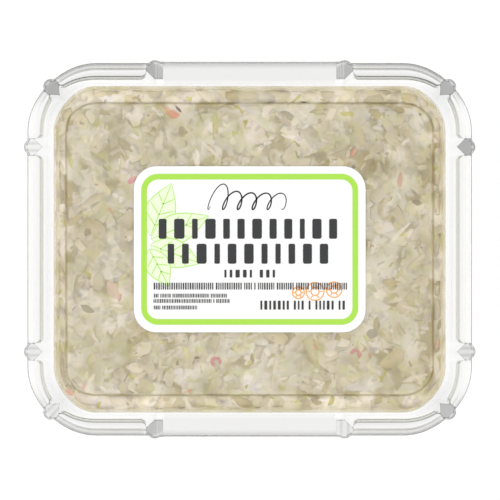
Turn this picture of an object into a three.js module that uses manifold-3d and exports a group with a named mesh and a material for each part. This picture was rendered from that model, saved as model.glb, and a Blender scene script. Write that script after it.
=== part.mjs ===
// Tub of coleslaw: a clear thermoformed tub with its press-fit lid, a paper label and the salad inside.
// Millimetres, +Z up. The origin is the middle of the base, X runs along the long side.
import * as THREE from 'three';
import { mergeVertices } from 'three/addons/utils/BufferGeometryUtils.js';
import Module from 'manifold-3d';

const manifoldLibrary = await Module();
manifoldLibrary.setup();

// ---------------------------------------------------------------- driving dimensions

// Every outline is a rounded rectangle round the same four corner centres, a given "reach" away.
const CENTRE_X = 51.8;
const CENTRE_Y = 39.65;

const HEIGHT = 40.0;
const WALL = 0.6;
const CLEARANCE = 0.35;

// Reaches of the lid, from the middle outwards.
const PANEL_REACH = 9.9;
const PANEL_NIP = 0.45;
const LEDGE_REACH = 12.4;
const MOUTH_REACH_SIDES = 14.0;
const MOUTH_REACH_FRONT = 15.2;
const RIM_REACH = 17.5;
const WALL_FOOT_REACH = 18.6;
const GROOVE_REACH = 20.6;
const LIP_REACH = 21.3;
const OUTLINE_REACH = 22.9;
const PLATE_REACH = 23.5;
const BUMP_REACH = 24.3;

// Levels of the lid.
const PANEL_LEVEL = HEIGHT - 1.0;
const LEDGE_LEVEL = HEIGHT - 2.3;
const GROOVE_LEVEL = HEIGHT - 3.2;
const LIP_LEVEL = HEIGHT - 2.3;
const SKIRT_BOTTOM = HEIGHT - 5.6;

// Half-round bumps that bridge the groove of the lid.
const BUMP_HALF_WIDTH = 2.8;
const BUMP_X = 32.0;
const BUMP_Y = 34.5;
const CORNER_BUMP_DEGREES = 45;

// Tub below the lid.
const LIP_TOP = HEIGHT - WALL - CLEARANCE;
const LIP_EDGE_REACH = RIM_REACH - WALL - 2 * CLEARANCE;
const BASE_DRAFT = 6.5;
const BASE_ROUNDING = 5.0;

// Label on the raised panel.
const LABEL_LENGTH = 78.0;
const LABEL_WIDTH = 55.9;
const LABEL_RADIUS = 7.7;
const LABEL_THICKNESS = 0.2;

// Salad: an uneven core with flakes and shreds of vegetable on it. It fills the tub to a level
// halfway between the space under the lid's ledge and the space under its panel.
const SALAD_TOP = (LEDGE_LEVEL + PANEL_LEVEL) / 2 - WALL - CLEARANCE;
const CORE_DEPTH = 1.1;
const CORE_CELLS = [13, 11, 3];
const CORE_UNEVENNESS = 0.9;
const FLAKE_THICKNESS = 1.5;
const FLAKE_CORNERS = 4;
const TOP_PITCH = 12.5;
const SIDE_ROWS = 3;
const SIDE_PITCH = 15.0;
// Reach of the line round the tub along which the side flakes are spaced.
const GUIDE_REACH = 8.0;
const SHREDS = 18;
const SHRED_SIZE = [9.0, 1.3, 1.5];

// ---------------------------------------------------------------- helpers

/** Repeatable random numbers between 0 and 1 (a linear congruential generator). */
function randomSource(seed) {
  let state = seed;
  return () => {
    state = (state * 1664525 + 1013904223) % 4294967296;
    return state / 4294967296;
  };
}

/** A value between a and b. */
const mix = (a, b, share) => a + (b - a) * share;

/** Height of a half circle over its base line, 0 outside it. */
const halfRound = (u) => Math.sqrt(Math.max(0, 1 - u * u));

/** Positions across one bump, from foot to foot, as shares of its half width. */
const BUMP_STEPS = [-1, -0.7, 0, 0.7, 1];

/** One place on the outline: where it starts from, which way is out, and how much bump or plate it has. */
function station(x, y, degrees, bump = 0, plate = 0) {
  const angle = THREE.MathUtils.degToRad(degrees);
  return { x, y, outX: Math.cos(angle), outY: Math.sin(angle), bump, plate };
}

/** Stations along a straight side, in the direction of travel, with a bump near each end. */
function sideStations(half, bumpAt, place, hasPlate) {
  const marks = [];
  for (const end of [-1, 1]) {
    for (const step of BUMP_STEPS) {
      const along = end * bumpAt + step * BUMP_HALF_WIDTH;
      marks.push({ along, bump: halfRound(step) });
    }
  }
  marks.splice(BUMP_STEPS.length, 0, { along: 0, bump: 0 });
  marks.unshift({ along: -half, bump: 0 });
  return marks.map(({ along, bump }) => place(along, bump, hasPlate && Math.abs(along) <= bumpAt ? 1 : 0));
}

/** Stations round a corner, with a bump at its middle. */
function cornerStations(x, y, startDegrees) {
  const halfDegrees = THREE.MathUtils.radToDeg(BUMP_HALF_WIDTH / OUTLINE_REACH);
  const before = [0, 13, 26].map((degrees) => ({ degrees, bump: 0 }));
  const bumps = BUMP_STEPS.map((step) => ({
    degrees: CORNER_BUMP_DEGREES + step * halfDegrees,
    bump: halfRound(step),
  }));
  const after = [64, 77].map((degrees) => ({ degrees, bump: 0 }));
  const all = [...before, ...bumps, ...after];
  return all.map(({ degrees, bump }) => station(x, y, startDegrees + degrees, bump));
}

/** All stations, anticlockwise seen from above, starting at the front left. */
function lidStations() {
  return [
    ...sideStations(CENTRE_X, BUMP_X, (t, bump, plate) => station(t, -CENTRE_Y, -90, bump, plate), true),
    ...cornerStations(CENTRE_X, -CENTRE_Y, -90),
    ...sideStations(CENTRE_Y, BUMP_Y, (t, bump) => station(CENTRE_X, t, 0, bump), false),
    ...cornerStations(CENTRE_X, CENTRE_Y, 0),
    ...sideStations(CENTRE_X, BUMP_X, (t, bump, plate) => station(-t, CENTRE_Y, 90, bump, plate), true),
    ...cornerStations(-CENTRE_X, CENTRE_Y, 90),
    ...sideStations(CENTRE_Y, BUMP_Y, (t, bump) => station(-CENTRE_X, -t, 180, bump), false),
    ...cornerStations(-CENTRE_X, -CENTRE_Y, 180),
  ];
}

/** Stations of a plain rounded rectangle, with the corners in equal steps. */
function plainStations(stepsPerCorner) {
  const corners = [
    [CENTRE_X, -CENTRE_Y, -90],
    [CENTRE_X, CENTRE_Y, 0],
    [-CENTRE_X, CENTRE_Y, 90],
    [-CENTRE_X, -CENTRE_Y, 180],
  ];
  return corners.flatMap(([x, y, start]) =>
    Array.from({ length: stepsPerCorner + 1 }, (_, i) => station(x, y, start + (90 * i) / stepsPerCorner))
  );
}

/** A point of a profile, carried out from its station. */
function carried(place, [reach, level]) {
  return new THREE.Vector3(place.x + place.outX * reach, place.y + place.outY * reach, level);
}

/** The same profile moved sideways by a wall's thickness, with its corners mitred. It starts on a level face. */
function offsetProfile(points, distance) {
  return points.map(([reach, level], i) => {
    const [beforeReach, beforeLevel] = points[Math.max(i - 1, 0)];
    const [afterReach, afterLevel] = points[Math.min(i + 1, points.length - 1)];
    const arriving = new THREE.Vector2(reach - beforeReach, level - beforeLevel);
    const leaving = new THREE.Vector2(afterReach - reach, afterLevel - level);
    if (i === 0) arriving.set(1, 0);
    if (i === points.length - 1) leaving.copy(arriving);
    const across = arriving.normalize().add(leaving.normalize()).normalize();
    const stretch = 1 / Math.max(Math.abs(across.dot(leaving)), 0.5);
    return [reach + across.y * distance * stretch, level - across.x * distance * stretch];
  });
}

/** A closed body through rings of points, with a fan of triangles over its first and last ring. */
function loft(rings) {
  const count = rings[0].length;
  const points = rings.flat();
  const middle = (ring) => ring.reduce((sum, p) => sum.add(p), new THREE.Vector3()).divideScalar(count);
  const firstMiddle = points.push(middle(rings[0])) - 1;
  const lastMiddle = points.push(middle(rings.at(-1))) - 1;
  const index = [];
  for (let i = 0; i < count; i += 1) {
    const next = (i + 1) % count;
    index.push(firstMiddle, i, next);
    for (let ring = 0; ring < rings.length - 1; ring += 1) {
      const here = ring * count;
      const there = here + count;
      index.push(here + i, there + i, there + next);
      index.push(here + i, there + next, here + next);
    }
    const last = (rings.length - 1) * count;
    index.push(lastMiddle, last + next, last + i);
  }
  const geometry = new THREE.BufferGeometry().setFromPoints(points);
  geometry.setIndex(index);
  return geometry;
}

/** A shell: the upper face from the middle outwards, and back along the same profile one wall below it. */
function shell(stations, profileAt) {
  const profiles = stations.map((place) => {
    const upper = profileAt(place);
    return [...upper, ...offsetProfile(upper, WALL).reverse()];
  });
  return loft(profiles[0].map((_, k) => stations.map((place, i) => carried(place, profiles[i][k]))));
}

/** Turns a three.js geometry into a solid that can be joined and cut. */
function toSolid(geometry) {
  const bare = geometry.clone();
  bare.deleteAttribute('normal');
  bare.deleteAttribute('uv');
  const merged = mergeVertices(bare);
  return new manifoldLibrary.Manifold(
    new manifoldLibrary.Mesh({
      numProp: 3,
      vertProperties: new Float32Array(merged.attributes.position.array),
      triVerts: new Uint32Array(merged.index.array),
    })
  );
}

/** Turns a solid back into a three.js geometry. */
function toGeometry(solid) {
  const mesh = solid.getMesh();
  const geometry = new THREE.BufferGeometry();
  geometry.setAttribute('position', new THREE.BufferAttribute(mesh.vertProperties, 3));
  geometry.setIndex(new THREE.BufferAttribute(mesh.triVerts, 1));
  return geometry;
}

function rectangleShape(length, width, radius) {
  const x = length / 2 - radius;
  const y = width / 2 - radius;
  const shape = new THREE.Shape();
  shape.absarc(x, -y, radius, -Math.PI / 2, 0);
  shape.absarc(x, y, radius, 0, Math.PI / 2);
  shape.absarc(-x, y, radius, Math.PI / 2, Math.PI);
  shape.absarc(-x, -y, radius, Math.PI, Math.PI * 1.5);
  return shape;
}

// ---------------------------------------------------------------- lid

/** How far out the tub's mouth lies at a station: the rim is narrower at the front and the back. */
const mouthReach = (place) => mix(MOUTH_REACH_SIDES, MOUTH_REACH_FRONT, place.outY ** 2);

/** The lid's upper face from the raised panel out to the foot of the skirt. */
function lidProfile(place) {
  const panel = PANEL_REACH - PANEL_NIP * place.plate;
  const ledgeEnd = LEDGE_REACH + mouthReach(place) - MOUTH_REACH_SIDES;
  const groove = [
    [WALL_FOOT_REACH, GROOVE_LEVEL],
    [GROOVE_REACH, GROOVE_LEVEL],
    [LIP_REACH, LIP_LEVEL],
    [OUTLINE_REACH - 0.4, LIP_LEVEL],
    [OUTLINE_REACH, LIP_LEVEL - 0.6],
    [OUTLINE_REACH, SKIRT_BOTTOM],
  ];
  const plate = [
    [RIM_REACH + 1.5, HEIGHT - 0.1],
    [PLATE_REACH - 2.4, HEIGHT - 0.2],
    [PLATE_REACH - 1.4, HEIGHT - 0.5],
    [PLATE_REACH - 0.5, HEIGHT - 1.4],
    [PLATE_REACH, HEIGHT - 2.8],
    [PLATE_REACH, SKIRT_BOTTOM],
  ];
  const bump = [
    [RIM_REACH + 1.2, HEIGHT - 0.2],
    [BUMP_REACH - 2.6, HEIGHT - 0.6],
    [BUMP_REACH - 1.4, HEIGHT - 1.2],
    [BUMP_REACH - 0.5, HEIGHT - 2.2],
    [BUMP_REACH, HEIGHT - 3.4],
    [BUMP_REACH, SKIRT_BOTTOM],
  ];
  const edge = groove.map(([reach, level], k) => [
    mix(mix(reach, plate[k][0], place.plate), bump[k][0], place.bump),
    mix(mix(level, plate[k][1], place.plate), bump[k][1], place.bump),
  ]);
  return [
    [panel - 1.2, PANEL_LEVEL],
    [panel - 0.3, PANEL_LEVEL - 0.35],
    [panel, LEDGE_LEVEL],
    [ledgeEnd, LEDGE_LEVEL],
    [ledgeEnd + 0.5, HEIGHT],
    [RIM_REACH, HEIGHT],
    ...edge,
  ];
}

// ---------------------------------------------------------------- tub

/** The tub's inner face from the flat of the base up the wall and out over the lip. */
function tubProfile(place) {
  const mouth = mouthReach(place);
  const wallFoot = mouth - BASE_DRAFT;
  const flat = wallFoot - BASE_ROUNDING;
  const lift = (degrees) => {
    const angle = THREE.MathUtils.degToRad(degrees);
    return [flat + BASE_ROUNDING * Math.sin(angle), WALL + BASE_ROUNDING * (1 - Math.cos(angle))];
  };
  return [
    lift(0),
    lift(28),
    lift(54),
    lift(80),
    [mouth - 0.4, LIP_TOP - 1.2],
    [mouth, LIP_TOP],
    [LIP_EDGE_REACH, LIP_TOP],
  ];
}

// ---------------------------------------------------------------- salad

/** The space for the salad, drawn in by a clearance from tub and lid. */
function fillingProfile(place, inset) {
  const [base, ...wall] = tubProfile(place).slice(0, -2);
  const shoulder = LEDGE_LEVEL - WALL - inset;
  const [kneeReach, kneeLevel] = wall.at(-1);
  const [footReach, footLevel] = wall.at(-2);
  const share = (shoulder - footLevel) / (kneeLevel - footLevel);
  const top = PANEL_LEVEL - WALL - inset;
  const panel = PANEL_REACH - PANEL_NIP - WALL - inset;
  return [
    [panel - 1.6, top],
    [panel, shoulder],
    [mix(footReach, kneeReach, share) - inset, shoulder],
    ...wall.slice(0, -1).map(([reach, level]) => [reach - inset, level + inset]).reverse(),
    [base[0], base[1] + inset],
  ];
}

/** The salad's space as a solid. */
function fillingSolid() {
  const stations = plainStations(6);
  const profiles = stations.map((place) => fillingProfile(place, CLEARANCE));
  return toSolid(loft(profiles[0].map((_, k) => stations.map((place, i) => carried(place, profiles[i][k])))));
}

/** Half the salad's length or width at a share of its height, a little inside the tub's wall. */
const halfAcross = (centre, mouth, share) => centre + mouth - BASE_DRAFT * (1 - share) - WALL - CORE_DEPTH;

/** The core: a box of cells pressed into the tub's form, its skin pushed in and out unevenly. */
function coreSolid(random) {
  const box = new THREE.BoxGeometry(2, 2, 1, ...CORE_CELLS);
  box.deleteAttribute('normal');
  box.deleteAttribute('uv');
  const core = mergeVertices(box);
  const spots = core.attributes.position;
  const uneven = () => mix(-CORE_UNEVENNESS, CORE_UNEVENNESS, random());
  for (let i = 0; i < spots.count; i += 1) {
    const share = spots.getZ(i) + 0.5;
    const x = spots.getX(i) * (halfAcross(CENTRE_X, MOUTH_REACH_SIDES, share) + uneven());
    const y = spots.getY(i) * (halfAcross(CENTRE_Y, MOUTH_REACH_FRONT, share) + uneven());
    const beyondX = Math.max(Math.abs(x) - CENTRE_X, 0);
    const beyondY = Math.max(Math.abs(y) - CENTRE_Y, 0);
    const pull = Math.max(beyondX, beyondY) / Math.max(Math.hypot(beyondX, beyondY), 1e-6);
    const inCorner = beyondX > 0 && beyondY > 0;
    spots.setXYZ(
      i,
      inCorner ? Math.sign(x) * (CENTRE_X + beyondX * pull) : x,
      inCorner ? Math.sign(y) * (CENTRE_Y + beyondY * pull) : y,
      mix(WALL + CLEARANCE, SALAD_TOP - CORE_DEPTH, share) + (share > 0 ? uneven() : 0)
    );
  }
  return toSolid(core);
}

/** A chopped leaf flake: an uneven plate with a few corners. */
function flakeGeometry(random) {
  const turn = random() * Math.PI * 2;
  const long = mix(3.0, 4.4, random());
  const short = long * mix(0.5, 0.8, random());
  const points = Array.from({ length: FLAKE_CORNERS }, (_, i) => {
    const angle = ((i + 0.35 * random()) / FLAKE_CORNERS) * Math.PI * 2;
    const size = mix(0.8, 1.1, random());
    return new THREE.Vector2(Math.cos(angle) * long * size, Math.sin(angle) * short * size);
  });
  const outline = new THREE.Shape(points);
  const flake = new THREE.ExtrudeGeometry(outline, { depth: FLAKE_THICKNESS, bevelEnabled: false });
  flake.translate(0, 0, -FLAKE_THICKNESS * 0.5);
  return flake.rotateX(mix(-0.22, 0.22, random())).rotateY(mix(-0.22, 0.22, random())).rotateZ(turn);
}

/** Lays a piece on a face of the salad: its own Z turns to the face's outward direction. */
function laidOn(geometry, point, outward) {
  const turn = new THREE.Quaternion().setFromUnitVectors(new THREE.Vector3(0, 0, 1), outward);
  return geometry.applyQuaternion(turn).translate(point.x, point.y, point.z);
}

/** Flakes spread over the flat top in a staggered, uneven grid. */
function topFlakes(random) {
  const pieces = [];
  const halfLength = CENTRE_X + MOUTH_REACH_SIDES - 4;
  const halfWidth = CENTRE_Y + MOUTH_REACH_FRONT - 4;
  const rows = Math.round((2 * halfWidth) / TOP_PITCH);
  const columns = Math.round((2 * halfLength) / TOP_PITCH);
  const up = new THREE.Vector3(0, 0, 1);
  for (let row = 0; row <= rows; row += 1) {
    for (let column = 0; column <= columns; column += 1) {
      const stagger = row % 2 ? 0.25 : -0.25;
      const x = mix(-halfLength, halfLength, (column + stagger + mix(-0.2, 0.2, random())) / columns);
      const y = mix(-halfWidth, halfWidth, (row + mix(-0.2, 0.2, random())) / rows);
      const flake = flakeGeometry(random);
      const beyondX = Math.max(Math.abs(x) - CENTRE_X, 0);
      const beyondY = Math.max(Math.abs(y) - CENTRE_Y, 0);
      if (Math.hypot(beyondX, beyondY) > MOUTH_REACH_SIDES - 3) continue;
      const z = SALAD_TOP - CORE_DEPTH + mix(0.2, 0.6, random());
      pieces.push(laidOn(flake, new THREE.Vector3(x, y, z), up));
    }
  }
  return pieces;
}

/** Flakes round the sides, in rows one above the other. */
function sideFlakes(random) {
  const pieces = [];
  const outline = new THREE.CurvePath();
  const stations = plainStations(6);
  stations.forEach((place, i) => {
    const next = stations[(i + 1) % stations.length];
    outline.add(new THREE.LineCurve3(carried(place, [GUIDE_REACH, 0]), carried(next, [GUIDE_REACH, 0])));
  });
  const perRow = Math.round(outline.getLength() / SIDE_PITCH);
  const wallLean = Math.atan2(BASE_DRAFT, LIP_TOP - BASE_ROUNDING);
  for (let row = 0; row < SIDE_ROWS; row += 1) {
    const share = (row + 0.75) / (SIDE_ROWS + 0.4);
    for (let i = 0; i < perRow; i += 1) {
      const t = ((i + (row % 2) * 0.5 + mix(-0.15, 0.15, random())) / perRow + 1) % 1;
      const spot = outline.getPointAt(t);
      const out = new THREE.Vector3(
        spot.x - THREE.MathUtils.clamp(spot.x, -CENTRE_X, CENTRE_X),
        spot.y - THREE.MathUtils.clamp(spot.y, -CENTRE_Y, CENTRE_Y),
        0
      ).normalize();
      const mouth = mix(MOUTH_REACH_SIDES, MOUTH_REACH_FRONT, out.y ** 2);
      const reach = halfAcross(0, mouth, share) + 0.3 - GUIDE_REACH;
      const point = spot.clone().addScaledVector(out, reach);
      point.z = mix(BASE_ROUNDING * 0.6, LEDGE_LEVEL - 3, share) + mix(-1, 1, random());
      out.z = -Math.tan(wallLean);
      pieces.push(laidOn(flakeGeometry(random), point, out.normalize()));
    }
  }
  return pieces;
}

/** Carrot shreds lying on the top, each a short strip turned its own way. */
function topShreds(random) {
  return Array.from({ length: SHREDS }, (_, i) => {
    const shred = new THREE.BoxGeometry(...SHRED_SIZE);
    shred.rotateX(mix(0, 0.6, random())).rotateZ(random() * Math.PI);
    const ring = Math.sqrt((i + 0.5) / SHREDS);
    const angle = i * 2.4;
    const x = Math.cos(angle) * ring * (CENTRE_X + 6);
    const y = Math.sin(angle) * ring * (CENTRE_Y + 6);
    return shred.translate(x, y, SALAD_TOP - 0.3);
  });
}

function saladGeometry() {
  const random = randomSource(7);
  let heap = coreSolid(random);
  for (const piece of [...topFlakes(random), ...sideFlakes(random), ...topShreds(random)]) {
    heap = heap.add(toSolid(piece));
  }
  const trimmed = heap.intersect(fillingSolid());
  const [largest] = trimmed.decompose().sort((a, b) => b.volume() - a.volume());
  return toGeometry(largest);
}

// ---------------------------------------------------------------- materials and assembly

const clearPlastic = () =>
  new THREE.MeshStandardMaterial({
    color: 0xeef2f1,
    roughness: 0.06,
    metalness: 0,
    transparent: true,
    opacity: 0.3,
  });
const labelPaper = new THREE.MeshStandardMaterial({ color: 0xfbfbf8, roughness: 0.45, metalness: 0 });
const dressedCabbage = new THREE.MeshStandardMaterial({ color: 0xd0c7aa, roughness: 0.42, metalness: 0 });

function named(name, geometry, material) {
  const mesh = new THREE.Mesh(geometry, material);
  mesh.name = name;
  return mesh;
}

const labelGeometry = new THREE.ExtrudeGeometry(rectangleShape(LABEL_LENGTH, LABEL_WIDTH, LABEL_RADIUS), {
  depth: LABEL_THICKNESS,
  bevelEnabled: false,
  curveSegments: 5,
});

const coleslawTub = new THREE.Group();
coleslawTub.add(named('tub', shell(plainStations(8), tubProfile), clearPlastic()));
coleslawTub.add(named('lid', shell(lidStations(), lidProfile), clearPlastic()));
coleslawTub.add(named('coleslaw', saladGeometry(), dressedCabbage));

const label = named('label', labelGeometry, labelPaper);
label.position.z = PANEL_LEVEL + CLEARANCE;
coleslawTub.add(label);

export default coleslawTub;
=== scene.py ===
# %% [markdown]
# # A shut tub of coleslaw
# The object is a low tub of clear thin plastic, filled with chopped creamy coleslaw and shut
# with a clear press-fit lid that carries a paper label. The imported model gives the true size
# and place of every part. Blender gives the fine surface: thin clear film with rounded ribs,
# printed paper, and a salad made of some thousands of separate chopped pieces.

import bpy
import numpy as np
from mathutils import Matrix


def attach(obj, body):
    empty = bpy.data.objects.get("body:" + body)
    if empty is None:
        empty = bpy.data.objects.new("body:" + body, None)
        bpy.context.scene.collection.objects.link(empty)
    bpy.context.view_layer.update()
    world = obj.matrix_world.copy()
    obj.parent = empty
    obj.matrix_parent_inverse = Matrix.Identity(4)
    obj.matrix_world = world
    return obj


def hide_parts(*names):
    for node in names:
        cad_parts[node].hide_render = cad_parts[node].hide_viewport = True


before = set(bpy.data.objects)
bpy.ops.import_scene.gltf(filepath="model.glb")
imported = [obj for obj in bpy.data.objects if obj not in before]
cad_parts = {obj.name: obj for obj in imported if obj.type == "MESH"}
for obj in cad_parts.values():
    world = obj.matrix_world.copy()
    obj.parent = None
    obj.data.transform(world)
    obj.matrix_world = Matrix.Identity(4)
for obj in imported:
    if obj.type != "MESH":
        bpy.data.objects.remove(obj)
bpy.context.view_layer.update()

# %% [markdown]
# ## Camera, floor and light
# A pack is best seen lying flat, from straight above, with a long lens so that its walls
# don't lean outwards. The floor is a light table: a white sheet lit from below, which is the
# usual way to show clear plastic, because every steep wall of it then draws itself as a grey
# line. A dome of light does the rest: white overhead and at both ends of the table, where two
# large soft boxes stand, and greyer low at the front and back.

# %% Camera
MM = 0.001
LENS = 250
SENSOR = 36
VIEW_WIDTH = 168.2
VIEW_MIDDLE = (0.1, -0.24)
RIM_LEVEL = 40.0
FARTHEST_SEEN = 20

camera_data = bpy.data.cameras.new("camera")
camera_data.lens = LENS
camera_data.sensor_width = SENSOR
camera_data.clip_end = FARTHEST_SEEN
camera = bpy.data.objects.new("camera", camera_data)
camera_height = RIM_LEVEL + VIEW_WIDTH * LENS / SENSOR
camera.location = (VIEW_MIDDLE[0] * MM, VIEW_MIDDLE[1] * MM, camera_height * MM)
bpy.context.scene.collection.objects.link(camera)
bpy.context.scene.camera = camera
bpy.context.scene.view_settings.view_transform = "Standard"
print("camera", round(camera_height), "mm above the floor")


# %% Materials in a few lines
def wire(tree, node, *numbered, **named):
    """Fills a node's sockets, by number or by name with _ for a space. An output of another
    node is linked, and anything else is set as the socket's value."""
    by_name = {name.replace("_", " "): value for name, value in named.items()}
    for socket, value in [*enumerate(numbered), *by_name.items()]:
        if isinstance(value, bpy.types.NodeSocket):
            tree.links.new(value, node.inputs[socket])
        else:
            node.inputs[socket].default_value = value


def new_node(tree, kind, *numbered, operation=None, **named):
    """A shader node of a kind, with its sockets filled."""
    node = tree.nodes.new("ShaderNode" + kind)
    if operation:
        node.operation = operation
    wire(tree, node, *numbered, **named)
    return node


def new_material(name, **values):
    """A material with one Principled shader, whose sockets get the values by name."""
    material = bpy.data.materials.new(name)
    material.use_nodes = True
    shader = material.node_tree.nodes["Principled BSDF"]
    wire(material.node_tree, shader, **values)
    return material, material.node_tree, shader


# %% Light table
FLOOR_HALF = 1500.0

floor_mesh = bpy.data.meshes.new("floor")
floor_corners = np.array([[-1, -1, 0], [1, -1, 0], [1, 1, 0], [-1, 1, 0]]) * FLOOR_HALF * MM
floor_mesh.from_pydata(floor_corners, [], [(0, 1, 2, 3)])
floor = bpy.data.objects.new("floor", floor_mesh)
bpy.context.scene.collection.objects.link(floor)
floor_sheet = new_material(
    "floor_sheet",
    Base_Color=(0.2, 0.2, 0.2, 1),
    Roughness=0.9,
    Specular_IOR_Level=0.0,
    Emission_Color=(1, 1, 1, 1),
    Emission_Strength=0.82,
)[0]
floor_mesh.materials.append(floor_sheet)

# %% Dome of light
ZENITH = (0.65, (1.0, 1.0, 1.0, 1))
HORIZON = (0.05, (0.33, 0.335, 0.34, 1))
DOME_STRENGTH = 1.2
SOFT_BOXES = 0.6

world = bpy.data.worlds.new("soft_dome")
world.use_nodes = True
bpy.context.scene.world = world
sky = world.node_tree
direction = new_node(sky, "TexCoord").outputs["Generated"]
split = new_node(sky, "SeparateXYZ", Vector=direction).outputs
sideways = new_node(sky, "Math", split["X"], 2.0, operation="POWER").outputs["Value"]
brightness = new_node(sky, "Math", sideways, SOFT_BOXES, split["Z"], operation="MULTIPLY_ADD")
height_ramp = new_node(sky, "ValToRGB", brightness.outputs["Value"])
for end, (position, colour) in zip(height_ramp.color_ramp.elements, (HORIZON, ZENITH)):
    end.position, end.color = position, colour
wire(sky, sky.nodes["Background"], Color=height_ramp.outputs["Color"], Strength=DOME_STRENGTH)
print("dome ready, strength", DOME_STRENGTH)

# %% [markdown]
# ## How every piece is made
# Each surface is worked out with numpy as whole arrays of points and then handed to Blender in
# one go. Two small helpers do this for all pieces: one makes the mesh, hangs it under the root
# and hides the imported parts that it stands for, and one makes sure that a closed surface
# faces outwards.


# %% Mesh helpers
def facing_out(points, faces):
    """The faces, turned over if the volume that they enclose (a sixth of the sum of a . b x c
    over all triangles) comes out negative."""
    volume = 0.0
    for group in faces:
        a = points[group[:, 0]]
        for k in range(1, group.shape[1] - 1):
            b, c = points[group[:, k]], points[group[:, k + 1]]
            volume += np.einsum("ij,ij->", a, np.cross(b, c)) / 6
    return faces if volume > 0 else [group[:, ::-1] for group in faces]


def make_piece(name, points, faces, material, slot, stands_for=(), smooth=True):
    """One piece from points in millimetres (n, 3) and a list of face arrays (m, corners)."""
    mesh = bpy.data.meshes.new(name)
    mesh.from_pydata(points * MM, [], [face for group in faces for face in group.tolist()])
    mesh.polygons.foreach_set("use_smooth", np.full(len(mesh.polygons), smooth))
    mesh.materials.append(material)
    piece = bpy.data.objects.new(name, mesh)
    bpy.context.scene.collection.objects.link(piece)
    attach(piece, "root")
    for node in stands_for:
        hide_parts(node)
    mesh.calc_loop_triangles()
    print(name, len(mesh.loop_triangles), "triangles")
    return piece


def ring_faces(rings, count):
    """Quads between rings of points, each ring with the same count and closed on itself."""
    i = np.arange(count)
    ring = np.arange(rings - 1)[:, None] * count
    here, beside = ring + i, ring + (i + 1) % count
    return np.stack([here, beside, beside + count, here + count], -1).reshape(-1, 4)


def loft(sections):
    """A closed body from sections (rings, count, 3), with a fan over the first and last ring."""
    rings, count = sections.shape[:2]
    points = np.vstack([sections.reshape(-1, 3), sections[0].mean(0), sections[-1].mean(0)])
    i = np.arange(count)
    beside = (i + 1) % count
    last = (rings - 1) * count
    first_fan = np.stack([np.full(count, rings * count), beside, i], -1)
    last_fan = np.stack([np.full(count, rings * count + 1), last + i, last + beside], -1)
    faces = facing_out(points, [ring_faces(rings, count), np.vstack([first_fan, last_fan])])
    return points, faces


# %% [markdown]
# ## The outline
# Seen from above, every edge of the pack is a rounded rectangle round the same four corner
# centres, a certain reach away from them: the step of the lid's panel, the tub's mouth, the
# rim, the groove and the outer edge. So the pack is one profile, a line of reach against
# height, carried round the outline. A station is one place on the outline: where it starts
# from, which way is out, and what it needs to know of the nearest bump.

# %% Stations
CENTRE_X = 51.8
CENTRE_Y = 39.65
BUMP_RADIUS = 2.8
BUMP_X = 32.0
BUMP_Y = 34.5
OUTLINE_REACH = 23.15
CORNER_STEP, SIDE_STEP = 1.6, 5.0
POCKET_ROUNDING = 2.0
BESIDE_BUMP = np.array([0.06, 0.16, 0.3, 0.5, 0.8, 1.15, 1.55, 2.0, 2.6]) + BUMP_RADIUS
TINY = 1e-6
ON_BUMP = BUMP_RADIUS + TINY
X, Y, OUT_X, OUT_Y, OFF_BUMP, PLATED, BUMP = range(7)
CORNER_SIGNS = [(1, -1), (1, 1), (-1, 1), (-1, -1)]


def ramp(value, start, end):
    """0 before start, 1 past end, and a smooth 3t2 - 2t3 between."""
    t = np.clip((value - start) / (end - start), 0, 1)
    return t * t * (3 - 2 * t)


def places_along(start, end, bump_centres, step):
    """Distances along one stretch: even steps, with sine steps across each bump and close steps
    beside it. A straight side is the same all along, so its even steps are long."""
    across = np.sin(np.linspace(-np.pi / 2, np.pi / 2, 19)) * BUMP_RADIUS
    even = np.linspace(start, end, int((end - start) / step) + 1)
    for centre in bump_centres:
        even = even[np.abs(even - centre) > BESIDE_BUMP[-1] + 0.5]
    near = np.concatenate([across, BESIDE_BUMP, -BESIDE_BUMP])
    return np.sort(np.concatenate([even, *[centre + near for centre in bump_centres]]))


def side_rows(k, along):
    """Place and outward direction on side k, of front, right, back and left, at distances from
    the side's middle."""
    angle = np.pi / 2 * (k - 1)
    out = np.array([np.cos(angle), np.sin(angle)])
    forward = np.array([-out[1], out[0]])
    spots = out * (CENTRE_X if k % 2 else CENTRE_Y) + along[:, None] * forward
    return np.column_stack([spots, np.repeat(out[None], len(along), 0)])


def corner_rows(k, turned):
    """Place and outward direction on the corner after side k, at angles turned from it."""
    turned = np.pi / 2 * (k - 1) + turned
    sign_x, sign_y = CORNER_SIGNS[k]
    spots = np.full((len(turned), 2), [sign_x * CENTRE_X, sign_y * CENTRE_Y])
    return np.column_stack([spots, np.cos(turned), np.sin(turned)])


def lid_stations():
    """Rows with the columns X to BUMP, anticlockwise from the front left: place, outward
    direction, distance from the nearest bump's middle, 1 on the plates, number of the bump."""
    corner_length = OUTLINE_REACH * np.pi / 2
    rows = []
    for k in range(4):
        long_side = k % 2 == 0
        half, bump_at = (CENTRE_X, BUMP_X) if long_side else (CENTRE_Y, BUMP_Y)
        along = places_along(-half, half, [-bump_at, bump_at], SIDE_STEP)
        rows.append(np.column_stack([
            side_rows(k, along),
            np.abs(np.abs(along) - bump_at),
            (np.abs(along) < bump_at) & long_side,
            3 * k + (along > 0),
        ]))
        arc = places_along(0, corner_length, [corner_length / 2], CORNER_STEP)[1:-1]
        rows.append(np.column_stack([
            corner_rows(k, arc / OUTLINE_REACH),
            np.abs(arc - corner_length / 2),
            arc * 0,
            arc * 0 + 3 * k + 2,
        ]))
    return np.vstack(rows)


lid_rows = lid_stations()
print(len(lid_rows), "stations round the lid")


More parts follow.
